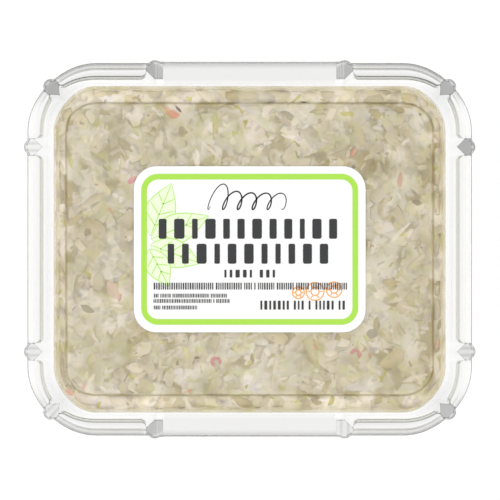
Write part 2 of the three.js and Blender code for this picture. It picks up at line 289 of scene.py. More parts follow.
# %% Profiles carried round
def carried(rows, profiles):
    """Sections (points, stations, 3) from station rows and profiles (stations, points, 2):
    place = corner centre + outward direction x reach, at the profile's level."""
    reach, level = profiles[..., 0], profiles[..., 1]
    x = rows[:, [X]] + rows[:, [OUT_X]] * reach
    y = rows[:, [Y]] + rows[:, [OUT_Y]] * reach
    return np.stack([x, y, level], -1).transpose(1, 0, 2)


def below(profiles, distance):
    """The same profiles moved to their right-hand side by distance, with mitred corners. The
    first point is taken to lie on a level face."""
    step = np.diff(profiles, axis=1)
    step = step / np.linalg.norm(step, axis=-1, keepdims=True)
    level = np.zeros_like(step[:, :1])
    level[..., 0] = 1
    arriving = np.concatenate([level, step], 1)
    leaving = np.concatenate([step, step[:, -1:]], 1)
    across = arriving + leaving
    across = across / np.linalg.norm(across, axis=-1, keepdims=True)
    stretch = 1 / np.maximum(np.abs(np.sum(across * leaving, -1)), 0.5)
    right = np.stack([across[..., 1], -across[..., 0]], -1)
    return profiles + right * (distance * stretch)[..., None]


FLAT_GUARD = 0.1


def towards(place, goal, distance, most):
    """A point on the way from place to goal, distance along it or most of it as a share."""
    way = goal - place
    length = np.maximum(np.linalg.norm(way, axis=-1, keepdims=True), TINY)
    return place + way * np.minimum(distance / length, most)


def rounded(profiles, cuts, steps=5):
    """Profiles with each inner corner replaced by a curve (1-t)2 A + 2t(1-t) C + t2 B, where A
    and B lie on the two sides of corner C, a cut away from it but within 0.46 of the side. A
    guard point just outside each curve, and one by the last end, keeps the flats flat."""
    before, corner, after = profiles[:, :-2], profiles[:, 1:-1], profiles[:, 2:]
    cut = np.asarray(cuts)[None, :, None]
    start, end = towards(corner, before, cut, 0.46), towards(corner, after, cut, 0.46)
    guards = [towards(corner, before, cut + FLAT_GUARD, 0.49),
              towards(corner, after, cut + FLAT_GUARD, 0.49)]
    t = np.linspace(0, 1, steps)[:, None]
    curve = (
        (1 - t) ** 2 * start[:, :, None]
        + 2 * t * (1 - t) * corner[:, :, None]
        + t ** 2 * end[:, :, None]
    )
    inner = np.concatenate([guards[0][:, :, None], curve, guards[1][:, :, None]], 2)
    inner = inner.reshape(len(profiles), -1, 2)
    tail = towards(profiles[:, -1:], profiles[:, -2:-1], FLAT_GUARD, 0.4)
    return np.concatenate([profiles[:, :1], inner, tail, profiles[:, -1:]], 1)


def film(profiles, cuts, wall):
    """Profiles (stations, points, 2) of a thin shell: the upper face from the middle outwards
    and back along the lower face."""
    upper = rounded(profiles, cuts)
    lower = rounded(below(profiles, wall), cuts)
    return np.concatenate([upper, lower[:, ::-1]], 1)


# %% [markdown]
# ## Clear film
# Both shells are one clear glossy plastic. Real film is glass to the eye, so the shader lets
# light through with a plastic's bending of light. Lamps and soft light between surfaces pass
# straight through it, so that the salad behind it is lit as evenly as in life. Where thin film
# turns a corner, light is led away inside it and the corner looks grey. That is too thin for
# the renderer to find by chance, so the grey is painted: each point of the film carries its
# own share of painted shade in its colour.

# %% Clear plastic
FILM = 0.4
LID_CLEAR = 0.90
TUB_CLEAR = 0.97


def write_colours(piece, name, colours):
    """Writes colours (points, 3) on a piece's points under a name, for its material to read."""
    rows = np.column_stack([colours, np.ones(len(colours))])
    layer = piece.data.attributes.new(name, "FLOAT_COLOR", "POINT")
    layer.data.foreach_set("color", rows.astype(np.float32).ravel())


def written_colour(tree, name):
    """The output of a node that reads the colours written under that name."""
    own = new_node(tree, "Attribute")
    own.attribute_name = name
    return own.outputs["Color"]


def greyed(piece, clear, painted_reflection=0.0):
    """Writes the share of light that each point of a film lets through, with its painted shade,
    given as an array of points by stations, less blue where a painted reflection of the salad
    warms it. The two middles get the first point's."""
    colours = np.stack([clear * 0.998, clear, clear * (1 - painted_reflection)], -1).reshape(-1, 3)
    write_colours(piece, "film_tint_and_painted_shade", np.vstack([colours, colours[:1], colours[:1]]))


def clear_plastic(name):
    """Glossy clear plastic in each point's painted grey, letting shadows and soft light through.
    """
    material, tree, shader = new_material(name, Roughness=0.03, IOR=1.5, Transmission_Weight=1.0)
    wire(tree, shader, Base_Color=written_colour(tree, "film_tint_and_painted_shade"))
    path = new_node(tree, "LightPath")
    clear = new_node(tree, "BsdfTransparent").outputs["BSDF"]
    source = shader.outputs["BSDF"]
    for ray in ("Is Shadow Ray", "Is Diffuse Ray"):
        source = new_node(tree, "MixShader", path.outputs[ray], source, clear).outputs["Shader"]
    wire(tree, tree.nodes["Material Output"], Surface=source)
    return material


lid_plastic = clear_plastic("lid_plastic")
tub_plastic = clear_plastic("tub_plastic")

# %% [markdown]
# ## Lid
# From the middle outwards the lid is a raised panel with a sharp step, a ledge pressed on the
# salad, a wall up to the flat rim, and then the edge: a groove with an outer lip. Twelve small
# round bumps stop the groove, each with a hollow in it that is pointed like a drop towards the
# middle. At the front and back a long closed plate lies between two bumps instead of the groove.

# %% Lid levels and reaches
PANEL_REACH, PANEL_NIP = 9.9, 0.45
LEDGE_REACH = 13.1
MOUTH_SIDES, MOUTH_FRONT, MOUTH_NIP = 13.85, 15.0, 0.55
RIM_REACH, WALL_FOOT_REACH, GROOVE_REACH, LIP_REACH = 17.6, 18.65, 20.75, 21.2
EDGE_NIP = 0.5
PLATE_REACH = 23.6
PANEL_LEVEL = RIM_LEVEL - 1.0
LEDGE_LEVEL = RIM_LEVEL - 2.3
GROOVE_LEVEL = RIM_LEVEL - 3.2
LIP_LEVEL = RIM_LEVEL - 2.3
SKIRT_BOTTOM = RIM_LEVEL - 5.6
HOLLOW_LEVEL = RIM_LEVEL - 0.9
SIDE_LEAN = 0.3
SIDE_BUMP, LONG_BUMP, CORNER_BUMP = (24.3, 17.9), (24.1, 17.6), (24.1, 17.1)


def on_diagonal(out_y):
    """0 along the sides and 1 where a corner is at 45 degrees: 4 x2 y2 of the outward
    direction. The tub's mouth and the lid's edge are blunter there than a circle."""
    return 4 * out_y ** 2 * (1 - out_y ** 2)


def mouth_at(out_y):
    """Reach of the tub's mouth: wider at the front and back than at the sides."""
    return MOUTH_SIDES + (MOUTH_FRONT - MOUTH_SIDES) * out_y ** 2 - MOUTH_NIP * on_diagonal(out_y)


def panel_step(out_y):
    """Reach of the panel's step and width of its slope: at the front and back (out_y 1 or -1)
    the step is nearer the middle and steeper."""
    long_share = out_y ** 2
    return PANEL_REACH + 0.3 - (PANEL_NIP + 0.15) * long_share, 0.7 - 0.25 * long_share


def profile_of(corners, count):
    """Profiles (count, corners, 2) from (reach, level) pairs, each a number or an array."""
    both = [[np.broadcast_to(value, count) for value in pair] for pair in corners]
    return np.array(both).transpose(2, 0, 1)


# %% Lid profile
def near_bump(off):
    """1 at the side of a bump, going evenly to 0 where the groove is open again."""
    return np.clip((BUMP_RADIUS + POCKET_ROUNDING - off) / POCKET_ROUNDING, 0, 1)


def groove_edge(rows):
    """The groove's corners. Near a bump its inner wall swings out along a quarter circle and
    shuts it: shift = 1 - sqrt(1 - t2), t going to 1 at the bump. The wall leans more at the
    short sides."""
    lean = SIDE_LEAN * (1 - rows[:, OUT_Y] ** 2)
    nip = EDGE_NIP * on_diagonal(rows[:, OUT_Y])
    shift = 1 - np.sqrt(1 - near_bump(rows[:, OFF_BUMP]) ** 2)
    return [
        (RIM_REACH + nip * (1 - shift) + shift * 2.9, RIM_LEVEL),
        (WALL_FOOT_REACH + (lean + nip) * (1 - shift) + shift * 2.1, GROOVE_LEVEL),
        (GROOVE_REACH + shift * 0.15 - nip * 0.3 - lean, GROOVE_LEVEL),
        (LIP_REACH - nip * 0.3, LIP_LEVEL),
        (OUTLINE_REACH - nip - 0.5, LIP_LEVEL),
        (OUTLINE_REACH - nip, LIP_LEVEL - 0.6),
        (OUTLINE_REACH - nip, SKIRT_BOTTOM),
    ]


PLATE_EDGE = [
    (RIM_REACH, RIM_LEVEL),
    (19.2, RIM_LEVEL - 0.1),
    (21.2, RIM_LEVEL - 0.2),
    (22.2, RIM_LEVEL - 0.5),
    (PLATE_REACH - 0.4, RIM_LEVEL - 1.4),
    (PLATE_REACH, RIM_LEVEL - 2.8),
    (PLATE_REACH, SKIRT_BOTTOM),
]


def bump_edge(rows):
    """The hollow of a bump. It starts at a point and widens at 45 degrees, but on the plates'
    side its end is straight, and it is closed by a round cap: middle + sqrt(radius2 - off2)."""
    off, plated, kind = rows[:, OFF_BUMP], rows[:, PLATED] > 0.5, rows[:, BUMP].astype(int) % 3
    long_side = np.abs(rows[:, OUT_Y]) > 0.999
    farthest, tip = np.where(
        kind == 2, np.array(CORNER_BUMP)[:, None],
        np.where(long_side, np.array(LONG_BUMP)[:, None], np.array(SIDE_BUMP)[:, None]),
    )
    cap = farthest - BUMP_RADIUS + np.sqrt(np.clip(BUMP_RADIUS ** 2 - off ** 2, 0, None))
    beside = OUTLINE_REACH - EDGE_NIP * on_diagonal(rows[:, OUT_Y])
    outer = np.maximum(cap, np.where(plated, PLATE_REACH, beside))
    start = np.where(plated, tip + 0.1, tip + 0.98 * off)
    foot = start + 0.45
    room = cap - foot
    return [
        (start, RIM_LEVEL),
        (foot, HOLLOW_LEVEL),
        (foot + room * 0.5, HOLLOW_LEVEL - 0.1),
        (foot + room * 0.8, HOLLOW_LEVEL - 0.2),
        (outer - 0.45, HOLLOW_LEVEL - 0.8),
        (outer, HOLLOW_LEVEL - 1.7),
        (outer, SKIRT_BOTTOM),
    ]


def lid_profiles(rows):
    """The lid's upper face at every station."""
    count = len(rows)
    panel, slope = panel_step(rows[:, OUT_Y])
    ledge_end = LEDGE_REACH + mouth_at(rows[:, OUT_Y]) - MOUTH_SIDES
    inner = profile_of([
        (panel - 3.0, PANEL_LEVEL),
        (panel - 2.4, PANEL_LEVEL),
        (panel - slope - 0.3, PANEL_LEVEL),
        (panel - slope * 0.4, PANEL_LEVEL - 0.35),
        (panel + 0.1, LEDGE_LEVEL),
        (ledge_end, LEDGE_LEVEL),
        (ledge_end + 0.3, RIM_LEVEL),
    ], count)
    plated = (rows[:, PLATED] > 0.5)[:, None, None]
    edge = np.where(plated, profile_of(PLATE_EDGE, count), profile_of(groove_edge(rows), count))
    at_bump = (rows[:, OFF_BUMP] <= ON_BUMP)[:, None, None]
    edge = np.where(at_bump, profile_of(bump_edge(rows), count), edge)
    return np.concatenate([inner, edge], 1)


LID_CUTS = [0.1, 0.3, 0.3, 0.12, 0.3, 0.3, 0.65, 0.3, 0.25, 0.25, 0.3, 0.4]
lid_shape = film(lid_profiles(lid_rows), LID_CUTS, FILM)
lid_points, lid_faces = loft(carried(lid_rows, lid_shape))
lid = make_piece("lid_film", lid_points, lid_faces, lid_plastic, "lid_plastic", ["lid"])

# %% [markdown]
# ### Painted grey of the lid's corners
# Each rounded corner of the profile has a tone before it, on it and after it. A tone is painted
# shade: the share of light that the film's colour keeps back there, and a tone below nothing
# paints the film lighter. The outer corners have four sets of tones: for the groove, for the
# groove at the short sides, which the soft boxes light, for the plates and for the bumps. The
# bumps at the back and right are painted greyer than those at the front and left, and the
# panel's step is painted greyest at the back and faint at the short sides.

# %% Tones
# Painted shade: each tone darkens the film's colour, and a tone below nothing paints it lighter.
INNER_TONES = [(0, 0, 0), (0, 0, 0.04), (0.06, 0.14, 0.2), (0.3, 0.8, -0.1),
               (-0.1, -0.1, -0.1), (-0.1, -0.1, -0.1)]
GROOVE_TONES = [(-0.05, -0.11, 0.26), (0.4, 1.0, 0.12), (0, 0.12, 0.34), (0.3, 0.16, 0.2),
                (0.28, 0.3, 0.32), (0.34, 0.34, 0.34)]
SIDE_TONES = [(0, -0.05, 0.27), (0.31, 0.24, 0), (0, -0.1, -0.1), (-0.1, -0.1, -0.05),
              (-0.05, -0.11, -0.11), (-0.11, -0.11, -0.11)]
PLATE_TONES = [(0.02, 0.06, 0.06), (0.06, 0.06, 0.06), (0.06, 0.08, 0.12), (0.16, 0.2, 0.24),
               (0.2, 0.2, 0.2), (0.16, 0.16, 0.16)]
BUMP_TONES = [(0, 0, 0.9), (1, 1, 1), (1, 1, 1), (0.95, 0.7, 0.45), (0.35, 0.35, 0.45),
              (0.5, 0.6, 0.6)]
BUMP_OUTLINE = [(0, 0, 0), (0, 0, 0), (0, 0, 0), (0, 0, 0), (0, 0.02, 0.1), (0.36, 0.5, 0.4)]
# Painted shade in each bump's hollow, greyer at the back and right.
BUMP_PAINTED_SHADE = np.array([0.44, 0.12, 0.46, 0.2, 0.55, 0.54, 0.5, 0.54, 0.56, 0.05, 0.12, 0.14])
# Painted streaks of light on every other station of the plates' bumps.
LIGHT_STREAKS = 0.3
# Painted shade round the rim at the corners and on the bumps' facets.
RIM_PAINTED_SHADE = 0.12
FACET_PAINTED_SHADE = 0.16
# Painted reflection of the salad: how much blue the groove's inner wall loses.
PAINTED_REFLECTION_WARMTH = 0.08
POINTS_A_CORNER = 7
RIM_POINTS = (40, 45)
LEDGE_POINTS = (4 * POINTS_A_CORNER - 1, 6 * POINTS_A_CORNER + 2)
# Where the painted highlight crosses the ledge, by each end of a plate.
HIGHLIGHT_STRIP_X = (28.8, 31.2)


def along_profile(tones):
    """Tones of one face's points: before the curve, five steps over it, and after it."""
    before, at, after = np.array(tones, float).T[:, :, None]
    share = np.array([0, 0, 0.5, 1, 0.5, 0, 0])
    first = np.array([1, 1, 0.5, 0, 0, 0, 0])
    last = np.array([0, 0, 0, 0, 0.5, 1, 1])
    return (before * first + at * share + after * last).ravel()


def within(value, limits):
    """Whether a value lies from the first limit to the last one."""
    return (value >= limits[0]) & (value <= limits[1])


def lid_clear(rows):
    """Share of light let through, (points, stations), for the upper face and back along the
    lower one, with the painted shade of the tones. A painted highlight, a strip of clearer
    film, crosses the ledge by each end of a plate."""
    inner = along_profile(INNER_TONES)
    groove, side, plate, bump, outline = [
        along_profile(tones)
        for tones in (GROOVE_TONES, SIDE_TONES, PLATE_TONES, BUMP_TONES, BUMP_OUTLINE)
    ]
    out_x, out_y, off = rows[:, [OUT_X]], rows[:, [OUT_Y]], rows[:, [OFF_BUMP]]
    plated = rows[:, [PLATED]] > 0.5
    short_side = ramp(np.abs(out_x), 0.7, 1.0)
    edge = np.where(plated, plate, groove + (side - groove) * short_side)
    # Painted shade: the edge is greyer towards the back and at the back right, less beside bumps.
    edge = edge * (1 + 0.12 * out_y + 0.5 * np.maximum(out_x * out_y, 0) * (out_y > 0))
    edge = edge * (1 - 0.5 * near_bump(off) * ~plated)
    # Painted shade of each bump, with more grey on the facets of the lighter ones.
    grey = BUMP_PAINTED_SHADE[rows[:, BUMP].astype(int)][:, None]
    # Painted streaks of light: every other station of a plate's bump is less grey.
    grey = grey * (1 - LIGHT_STREAKS * (np.arange(len(rows))[:, None] % 2) * plated)
    facets = ramp(off, 0.6, 1.0) * (1 - ramp(off, 1.5, 1.9))
    grey = grey + FACET_PAINTED_SHADE * facets * (grey < 0.25)
    edge = np.where(off <= ON_BUMP, bump * grey + outline, edge)
    # Painted shade of the panel's step: greyest at the back, faint at the short sides.
    inner = np.where(inner > 0, inner * (0.3 + 0.7 * out_y ** 2 + 0.35 * out_y), inner)
    first, last = np.zeros((len(rows), 1)), edge[:, -1:]
    tone = np.concatenate([first, inner, edge, last, last], 1)
    point = np.arange(tone.shape[1])
    # Painted shade round the rim where the corners are at 45 degrees.
    tone = tone + RIM_PAINTED_SHADE * on_diagonal(out_y) * within(point, RIM_POINTS)
    # Painted highlight: a strip of fully clear film across the ledge.
    highlight_strip = within(np.abs(rows[:, [X]]), HIGHLIGHT_STRIP_X) & plated & within(point, LEDGE_POINTS)
    clear = np.minimum(np.where(highlight_strip, 1.0, LID_CLEAR * (1 - tone)), 1)
    return np.concatenate([clear, clear[:, ::-1]], 1).T


def groove_painted_reflection(rows):
    """The groove's inner wall gets a painted reflection, a little of the salad's colour: 1
    there and 0 elsewhere.
    """
    face = np.zeros(2 + POINTS_A_CORNER * 12 + 1)
    face[6 * POINTS_A_CORNER + 4:8 * POINTS_A_CORNER] = 1
    groove = (rows[:, OFF_BUMP] > BUMP_RADIUS) & (rows[:, PLATED] < 0.5)
    both_faces = np.concatenate([face, face[::-1]])
    return both_faces[:, None] * groove


greyed(lid, lid_clear(lid_rows), PAINTED_REFLECTION_WARMTH * groove_painted_reflection(lid_rows))

# %% [markdown]
# ## Tub
# The tub is a plain draw: a flat base, a generous rounding, walls that lean out a little so
# that it leaves its mould, and a narrow lip that the lid's rim sits over.

# %% Tub
TUB_WALL = 0.4
LIP_TOP = RIM_LEVEL - 0.6 - 0.35
LIP_EDGE_REACH = RIM_REACH - 0.6 - 0.7
BASE_DRAFT, BASE_ROUNDING = 6.5, 5.0


def plain_stations(per_corner, side_step):
    """Station rows without bumps: arcs of per_corner steps and sides of about side_step."""
    rows = []
    for k in range(4):
        half = CENTRE_Y if k % 2 else CENTRE_X
        along = np.linspace(-half, half, int(2 * half / side_step) + 1)[1:-1]
        turned = np.linspace(0, np.pi / 2, per_corner + 1)
        rows += [side_rows(k, along), corner_rows(k, turned)]
    return np.vstack(rows)


FOOT_TURN = np.radians(80)
FOOT_LEVEL = TUB_WALL + BASE_ROUNDING * (1 - np.cos(FOOT_TURN))
WALL_TOP = LIP_TOP - 1.2


def wall_reach(mouth, level):
    """Reach of the tub's inner face at any level: on the rounding
    flat + sqrt(R2 - (R - height)2), and above it on a straight line to the mouth."""
    flat = mouth - BASE_DRAFT - BASE_ROUNDING
    down = np.clip(BASE_ROUNDING - (level - TUB_WALL), 0, BASE_ROUNDING)
    foot = flat + BASE_ROUNDING * np.sin(FOOT_TURN)
    share = (level - FOOT_LEVEL) / (WALL_TOP - FOOT_LEVEL)
    straight = foot + (mouth - 0.4 - foot) * share
    return np.where(share > 0, straight, flat + np.sqrt(BASE_ROUNDING ** 2 - down ** 2))


def wall_profiles(rows, steps=1):
    """The tub's inner face from the base's flat up to the mouth, as (reach, level), with that
    many steps above the rounding."""
    turn = np.linspace(0, FOOT_TURN, 9)
    level = np.append(TUB_WALL + BASE_ROUNDING * (1 - np.cos(turn)),
                      np.linspace(FOOT_LEVEL, WALL_TOP, steps + 1)[1:])
    level = level + np.zeros((len(rows), 1))
    return np.stack([wall_reach(mouth_at(rows[:, [OUT_Y]]), level), level], -1)


def tub_profiles(rows):
    """The inner face carried on over the mouth's edge and out along the lip."""
    mouth = mouth_at(rows[:, OUT_Y])
    lip = profile_of([(mouth, LIP_TOP), (LIP_EDGE_REACH, LIP_TOP)], len(rows))
    return np.concatenate([wall_profiles(rows), lip], 1)


TUB_CUT = 0.3
tub_rows = plain_stations(20, 4.0)
tub_shape = tub_profiles(tub_rows)
tub_shape = film(tub_shape, [TUB_CUT] * (tub_shape.shape[1] - 2), TUB_WALL)
tub_points, tub_faces = loft(carried(tub_rows, tub_shape))
tub = make_piece("tub_film", tub_points, tub_faces, tub_plastic, "tub_plastic", ["tub"])
greyed(tub, TUB_CLEAR + 0 * tub_shape[..., 0].T)

# %% [markdown]
# ## Label
# The label is a sheet of coated white paper with rounded corners, stuck on the panel. Its
# print is simple: a bright green frame, rows of dark blocks where a name would be, a looped pen
# line, thin dark lines, leaves in pale green lines and a few rounds of carrot. Each colour is a
# thin layer of ink of its own, so it stays sharp at any size.


# %% Flat shapes
def rounded_rectangle(length, width, radius, steps=12):
    """Points of a rectangle with quarter-circle corners, anticlockwise."""
    turn = np.linspace(0, np.pi / 2, steps)
    arcs = []
    for k, (sign_x, sign_y) in enumerate(CORNER_SIGNS):
        angle = np.pi / 2 * (k - 1) + turn
        arcs.append(np.column_stack([
            sign_x * (length / 2 - radius) + radius * np.cos(angle),
            sign_y * (width / 2 - radius) + radius * np.sin(angle),
        ]))
    return np.vstack(arcs)


def slab(outline, low, high):
    """A flat body: an outline (n, 2) raised from one level to another."""
    count = len(outline)
    levels = np.repeat([low, high], count)
    points = np.column_stack([np.vstack([outline, outline]), levels])
    top = np.arange(count, 2 * count)[None]
    bottom = np.arange(count)[::-1][None]
    return points, [ring_faces(2, count), top, bottom]


def frame_ring(outer, inner, low, high):
    """A flat ring between two outlines of as many points."""
    count = len(outer)
    rings = [(outer, low), (outer, high), (inner, high), (inner, low), (outer, low)]
    sections = np.stack([
        np.column_stack([outline, np.full(count, level)]) for outline, level in rings[:4]
    ])
    faces = ring_faces(4, count)
    i = np.arange(count)
    beside = (i + 1) % count
    closing = np.stack([3 * count + i, 3 * count + beside, beside, i], -1)
    return sections.reshape(-1, 3), [np.vstack([faces, closing])]


def joined(bodies):
    """Several bodies in one: the points in a row and the faces moved along."""
    points, faces, start = [], [], 0
    for body_points, body_faces in bodies:
        points.append(body_points)
        faces += [group + start for group in body_faces]
        start += len(body_points)
    return np.vstack(points), faces


# %% Paper and print
LABEL_SIZE = (78.0, 55.9, 7.7)
LABEL_BOTTOM = PANEL_LEVEL + 0.02
LABEL_TOP = PANEL_LEVEL + 0.4
INK, THIN_INK, INK_STEP = 0.13, 0.014, 0.007
FRAME_OUTER = (73.0, 50.8, 5.6)
FRAME_INNER = (69.2, 47.0, 3.8)


def paper(name, colour, roughness):
    """Coated paper or ink on it, with a faint unevenness of its colour and surface."""
    material, tree, shader = new_material(name, Roughness=roughness, Specular_IOR_Level=0.4)
    place = new_node(tree, "TexCoord").outputs["Object"]
    fibres = new_node(tree, "TexNoise", Scale=900, Detail=3, Vector=place).outputs["Fac"]
    darker = (*[c * 0.93 for c in colour], 1)
    shade = new_node(tree, "MixRGB", Fac=fibres, Color1=(*colour, 1), Color2=darker)
    bump = new_node(tree, "Bump", Strength=0.05, Distance=0.0001, Height=fibres)
    wire(tree, shader, Base_Color=shade.outputs["Color"], Normal=bump.outputs["Normal"])
    return material


label_paper = paper("label_paper", (0.94, 0.94, 0.93), 0.45)
frame_green = paper("frame_green", (0.40, 0.73, 0.07), 0.4)
charcoal_ink = paper("charcoal_ink", (0.028, 0.029, 0.031), 0.5)
leaf_ink = paper("leaf_ink", (0.50, 0.80, 0.22), 0.45)
wash_ink = paper("wash_ink", (0.82, 0.93, 0.66), 0.45)
carrot_ink = paper("carrot_ink", (0.90, 0.40, 0.13), 0.45)
label_slot = "label_paper"

paper_points, paper_faces = slab(rounded_rectangle(*LABEL_SIZE), LABEL_BOTTOM, LABEL_TOP)
make_piece(
    "label_sheet", paper_points, paper_faces, label_paper, label_slot, ["label"], smooth=False
)
ring_points, ring_quads = frame_ring(
    rounded_rectangle(*FRAME_OUTER), rounded_rectangle(*FRAME_INNER), LABEL_TOP, LABEL_TOP + INK
)
make_piece("label_frame", ring_points, ring_quads, frame_green, label_slot, smooth=False)


# %% Rows of print
def bar(x, y, length, width):
    """A bar with rounded ends, its middle at x, y."""
    outline = rounded_rectangle(length, width, min(length, width) * 0.2, steps=4)
    return slab(outline + np.array([x, y]), LABEL_TOP, LABEL_TOP + INK)


def block_row(x, y, length, height, words, wide, seed):
    """A row of upright blocks, its middle at x, y: words of random length, each of blocks that
    are wide (low, high) times the height, with gaps between blocks and wider ones between
    words."""
    draw = np.random.default_rng(seed)
    gap = np.mean(wide)
    count = int(length / height / gap / 2)
    lengths = draw.uniform(*wide, count)
    gaps = np.full(count - 1, gap)
    gaps[draw.choice(count - 1, words - 1, replace=False)] = 2.4 * gap
    scale = length / (lengths.sum() + gaps.sum())
    starts = np.concatenate([[0], np.cumsum(lengths[:-1] + gaps)])
    middles = (starts + lengths / 2) * scale - length / 2
    return [bar(x + middle, y, own * scale, height) for middle, own in zip(middles, lengths)]


def ribbon(right, left, height):
    """A layer of ink between two lines of as many points: four corners carried along them."""
    corners = [(right, 0), (left, 0), (left, height), (right, height)]
    sections = [np.column_stack([line, np.full(len(line), LABEL_TOP + up)])
                for line, up in corners]
    return loft(np.stack(sections, 1))


def stroke(path, width, order=0, tapered=True):
    """A pen stroke along a path (n, 2), thinner towards both ends if it is tapered. Of two
    strokes that cross, the one of higher order lies over the other."""
    way = np.gradient(path, axis=0)
    way = way / np.linalg.norm(way, axis=1, keepdims=True)
    thick = np.full(len(path), width)
    if tapered:
        thick = width * (0.35 + 0.65 * np.sin(np.linspace(0, np.pi, len(path))) ** 0.5)
    across = np.column_stack([way[:, 1], -way[:, 0]]) * thick[:, None] / 2
    return ribbon(path - across, path + across, THIN_INK + INK_STEP * order)


def flourish(x, y, length, height, loops):
    """A looped pen line, leaning to the right: u = t - 1.9 sin t, v = (1 - cos t) times a
    factor that makes the first loops tall."""
    t = np.linspace(-0.6, loops * 2 * np.pi + 0.6, 40 * loops)
    path = np.column_stack([t - 1.9 * np.sin(t), (1 - np.cos(t)) * (1 + 1.2 * np.exp(-t / 4))])
    path = (path - path.mean(0)) / np.ptp(path, axis=0) * [length, height]
    slanted = path + np.column_stack([path[:, 1] * 0.35, 0 * t])
    return stroke(slanted + [x, y], 0.55)


ROWS = [
    (-0.6, 6.9, 60.0, 6.7, 1, (0.22, 0.5), 1),
    (-0.6, -1.5, 54.0, 6.7, 1, (0.22, 0.5), 2),
    (0.0, -8.2, 17.0, 2.6, 2, (0.2, 0.55), 3),
    (0.2, -12.4, 65.0, 2.3, 8, (0.12, 0.22), 4),
    (-20.0, -15.6, 24.5, 1.3, 4, (0.14, 0.3), 5),
    (-19.6, -17.4, 25.5, 1.3, 3, (0.14, 0.3), 6),
    (-25.0, -19.6, 14.5, 1.3, 2, (0.14, 0.3), 7),
    (17.8, -18.8, 28.4, 3.0, 5, (0.16, 0.34), 8),
]
bars = [body for numbers in ROWS for body in block_row(*numbers)]
bars.append(flourish(-0.4, 16.4, 26.0, 8.6, 5))
make_piece("label_bars", *joined(bars), charcoal_ink, label_slot, smooth=False)


# %% Leaves and rounds
LEAF_STEPS = np.linspace(0, 1, 24)
LEAF_PEN, ROUND_PEN = 0.42, 0.45


def half_leaf(width, share):
    """Half the width of a leaf at a share of its length: width / 2 x sin(pi x share to 0.8)."""
    return width / 2 * np.sin(np.pi * share ** 0.8)


def leaf_turn(degrees):
    """The matrix that turns rows of points by an angle."""
    angle = np.radians(degrees)
    return np.array([[np.cos(angle), np.sin(angle)], [-np.sin(angle), np.cos(angle)]])


def leaf(x, y, length, width, degrees, order):
    """A leaf drawn with a pen, from its foot at x, y: two sides, half a leaf's width away from
    a middle rib of the same length, and three side ribs each way."""
    s = LEAF_STEPS
    curves = [np.column_stack([s * length, side * half_leaf(width, s)]) for side in (-1, 0, 1)]
    for start in (0.2, 0.4, 0.6):
        reach = half_leaf(width, start + 0.12) * 0.85
        curves += [np.column_stack([(start + 0.16 * s) * length, side * reach * s])
                   for side in (-1, 1)]
    orders = [0, 1, 0] + [1] * (len(curves) - 3)
    turn = leaf_turn(degrees)
    return [stroke(curve @ turn + [x, y], LEAF_PEN, order + own)
            for curve, own in zip(curves, orders)]


def leaf_wash(x, y, length, width, degrees, order):
    """The pale field of colour inside a leaf, between its two sides and a little narrower."""
    half = half_leaf(width, LEAF_STEPS) * 0.96
    right, left = [
        (np.column_stack([LEAF_STEPS * length, side]) @ leaf_turn(degrees) + [x, y])[1:-1]
        for side in (-half, half)
    ]
    return ribbon(right, left, INK_STEP * (order + 1))


def carrot_round(x, y, radius):
    """A round slice: its edge, a smaller circle inside and six short rays."""
    turn = np.linspace(0, 2 * np.pi, 37)
    circle = np.column_stack([np.cos(turn), np.sin(turn)])
    curves = [circle * radius + [x, y], circle * radius * 0.45 + [x, y]]
    for k in range(6):
        ray = np.array([np.cos(k * np.pi / 3), np.sin(k * np.pi / 3)])
        curves.append(np.linspace(0.55, 0.85, 4)[:, None] * ray * radius + [x, y])
    return [stroke(curve, ROUND_PEN, k > 1, tapered=False) for k, curve in enumerate(curves)]


LEAVES = [(-33.4, 4.6, 19.0, 10.4, 68, 0), (-33.2, 3.4, 21.0, 10.0, 22, 4),
          (-33.4, 1.4, 18.0, 9.4, -20, 8), (-33.8, 0.0, 14.0, 8.0, -62, 12)]
ROUNDS = [(22.0, -14.2, 3.0), (28.4, -13.6, 2.6), (16.4, -14.6, 2.0)]
washes = [leaf_wash(*numbers) for numbers in LEAVES]
make_piece("label_leaf_fields", *joined(washes), wash_ink, label_slot, smooth=False)
leaf_strokes = [body for numbers in LEAVES for body in leaf(*numbers)]
make_piece("label_leaves", *joined(leaf_strokes), leaf_ink, label_slot, smooth=False)
round_strokes = [body for numbers in ROUNDS for body in carrot_round(*numbers)]
make_piece("label_rounds", *joined(round_strokes), carrot_ink, label_slot, smooth=False)

# %% [markdown]
# ## Salad
# Chopped cabbage in a thick dressing is a heap of small flakes, a few millimetres across, that
# lie every way and stick together. The clear tub presses them flat: at the walls and the base
# there is no air, and under the lid the highest ones are squashed level. So the salad has a
# core of dressing that reaches just into the film, and thousands of flakes over it. A flake is
# worked out on its own little grid of angle and ring, then laid along the surface that it lies
# on, and whatever would stick through the lid is pushed back to the lid's underside.

# %% Random lumps
chance = np.random.default_rng(20)


def joined_squares(grid, i, j, s, t):
    """A grid's value between squares i, j and the next ones, at the shares s and t."""
    near = grid[i, j] * (1 - s) + grid[i + 1, j] * s
    far = grid[i, j + 1] * (1 - s) + grid[i + 1, j + 1] * s
    return near * (1 - t) + far * t


def lumps(x, y, size, seed):
    """A smooth uneven field from -1 to 1: random values on a grid of squares of that size,
    joined by the blend 3t2 - 2t3 both ways."""
    grid = np.random.default_rng(seed).uniform(-1, 1, (128, 128))
    u, v = x / size + 64, y / size + 64
    i, j = np.floor(u).astype(int), np.floor(v).astype(int)
    s, t = u - i, v - j
    s, t = s * s * (3 - 2 * s), t * t * (3 - 2 * t)
    return joined_squares(grid, i % 127, j % 127, s, t)


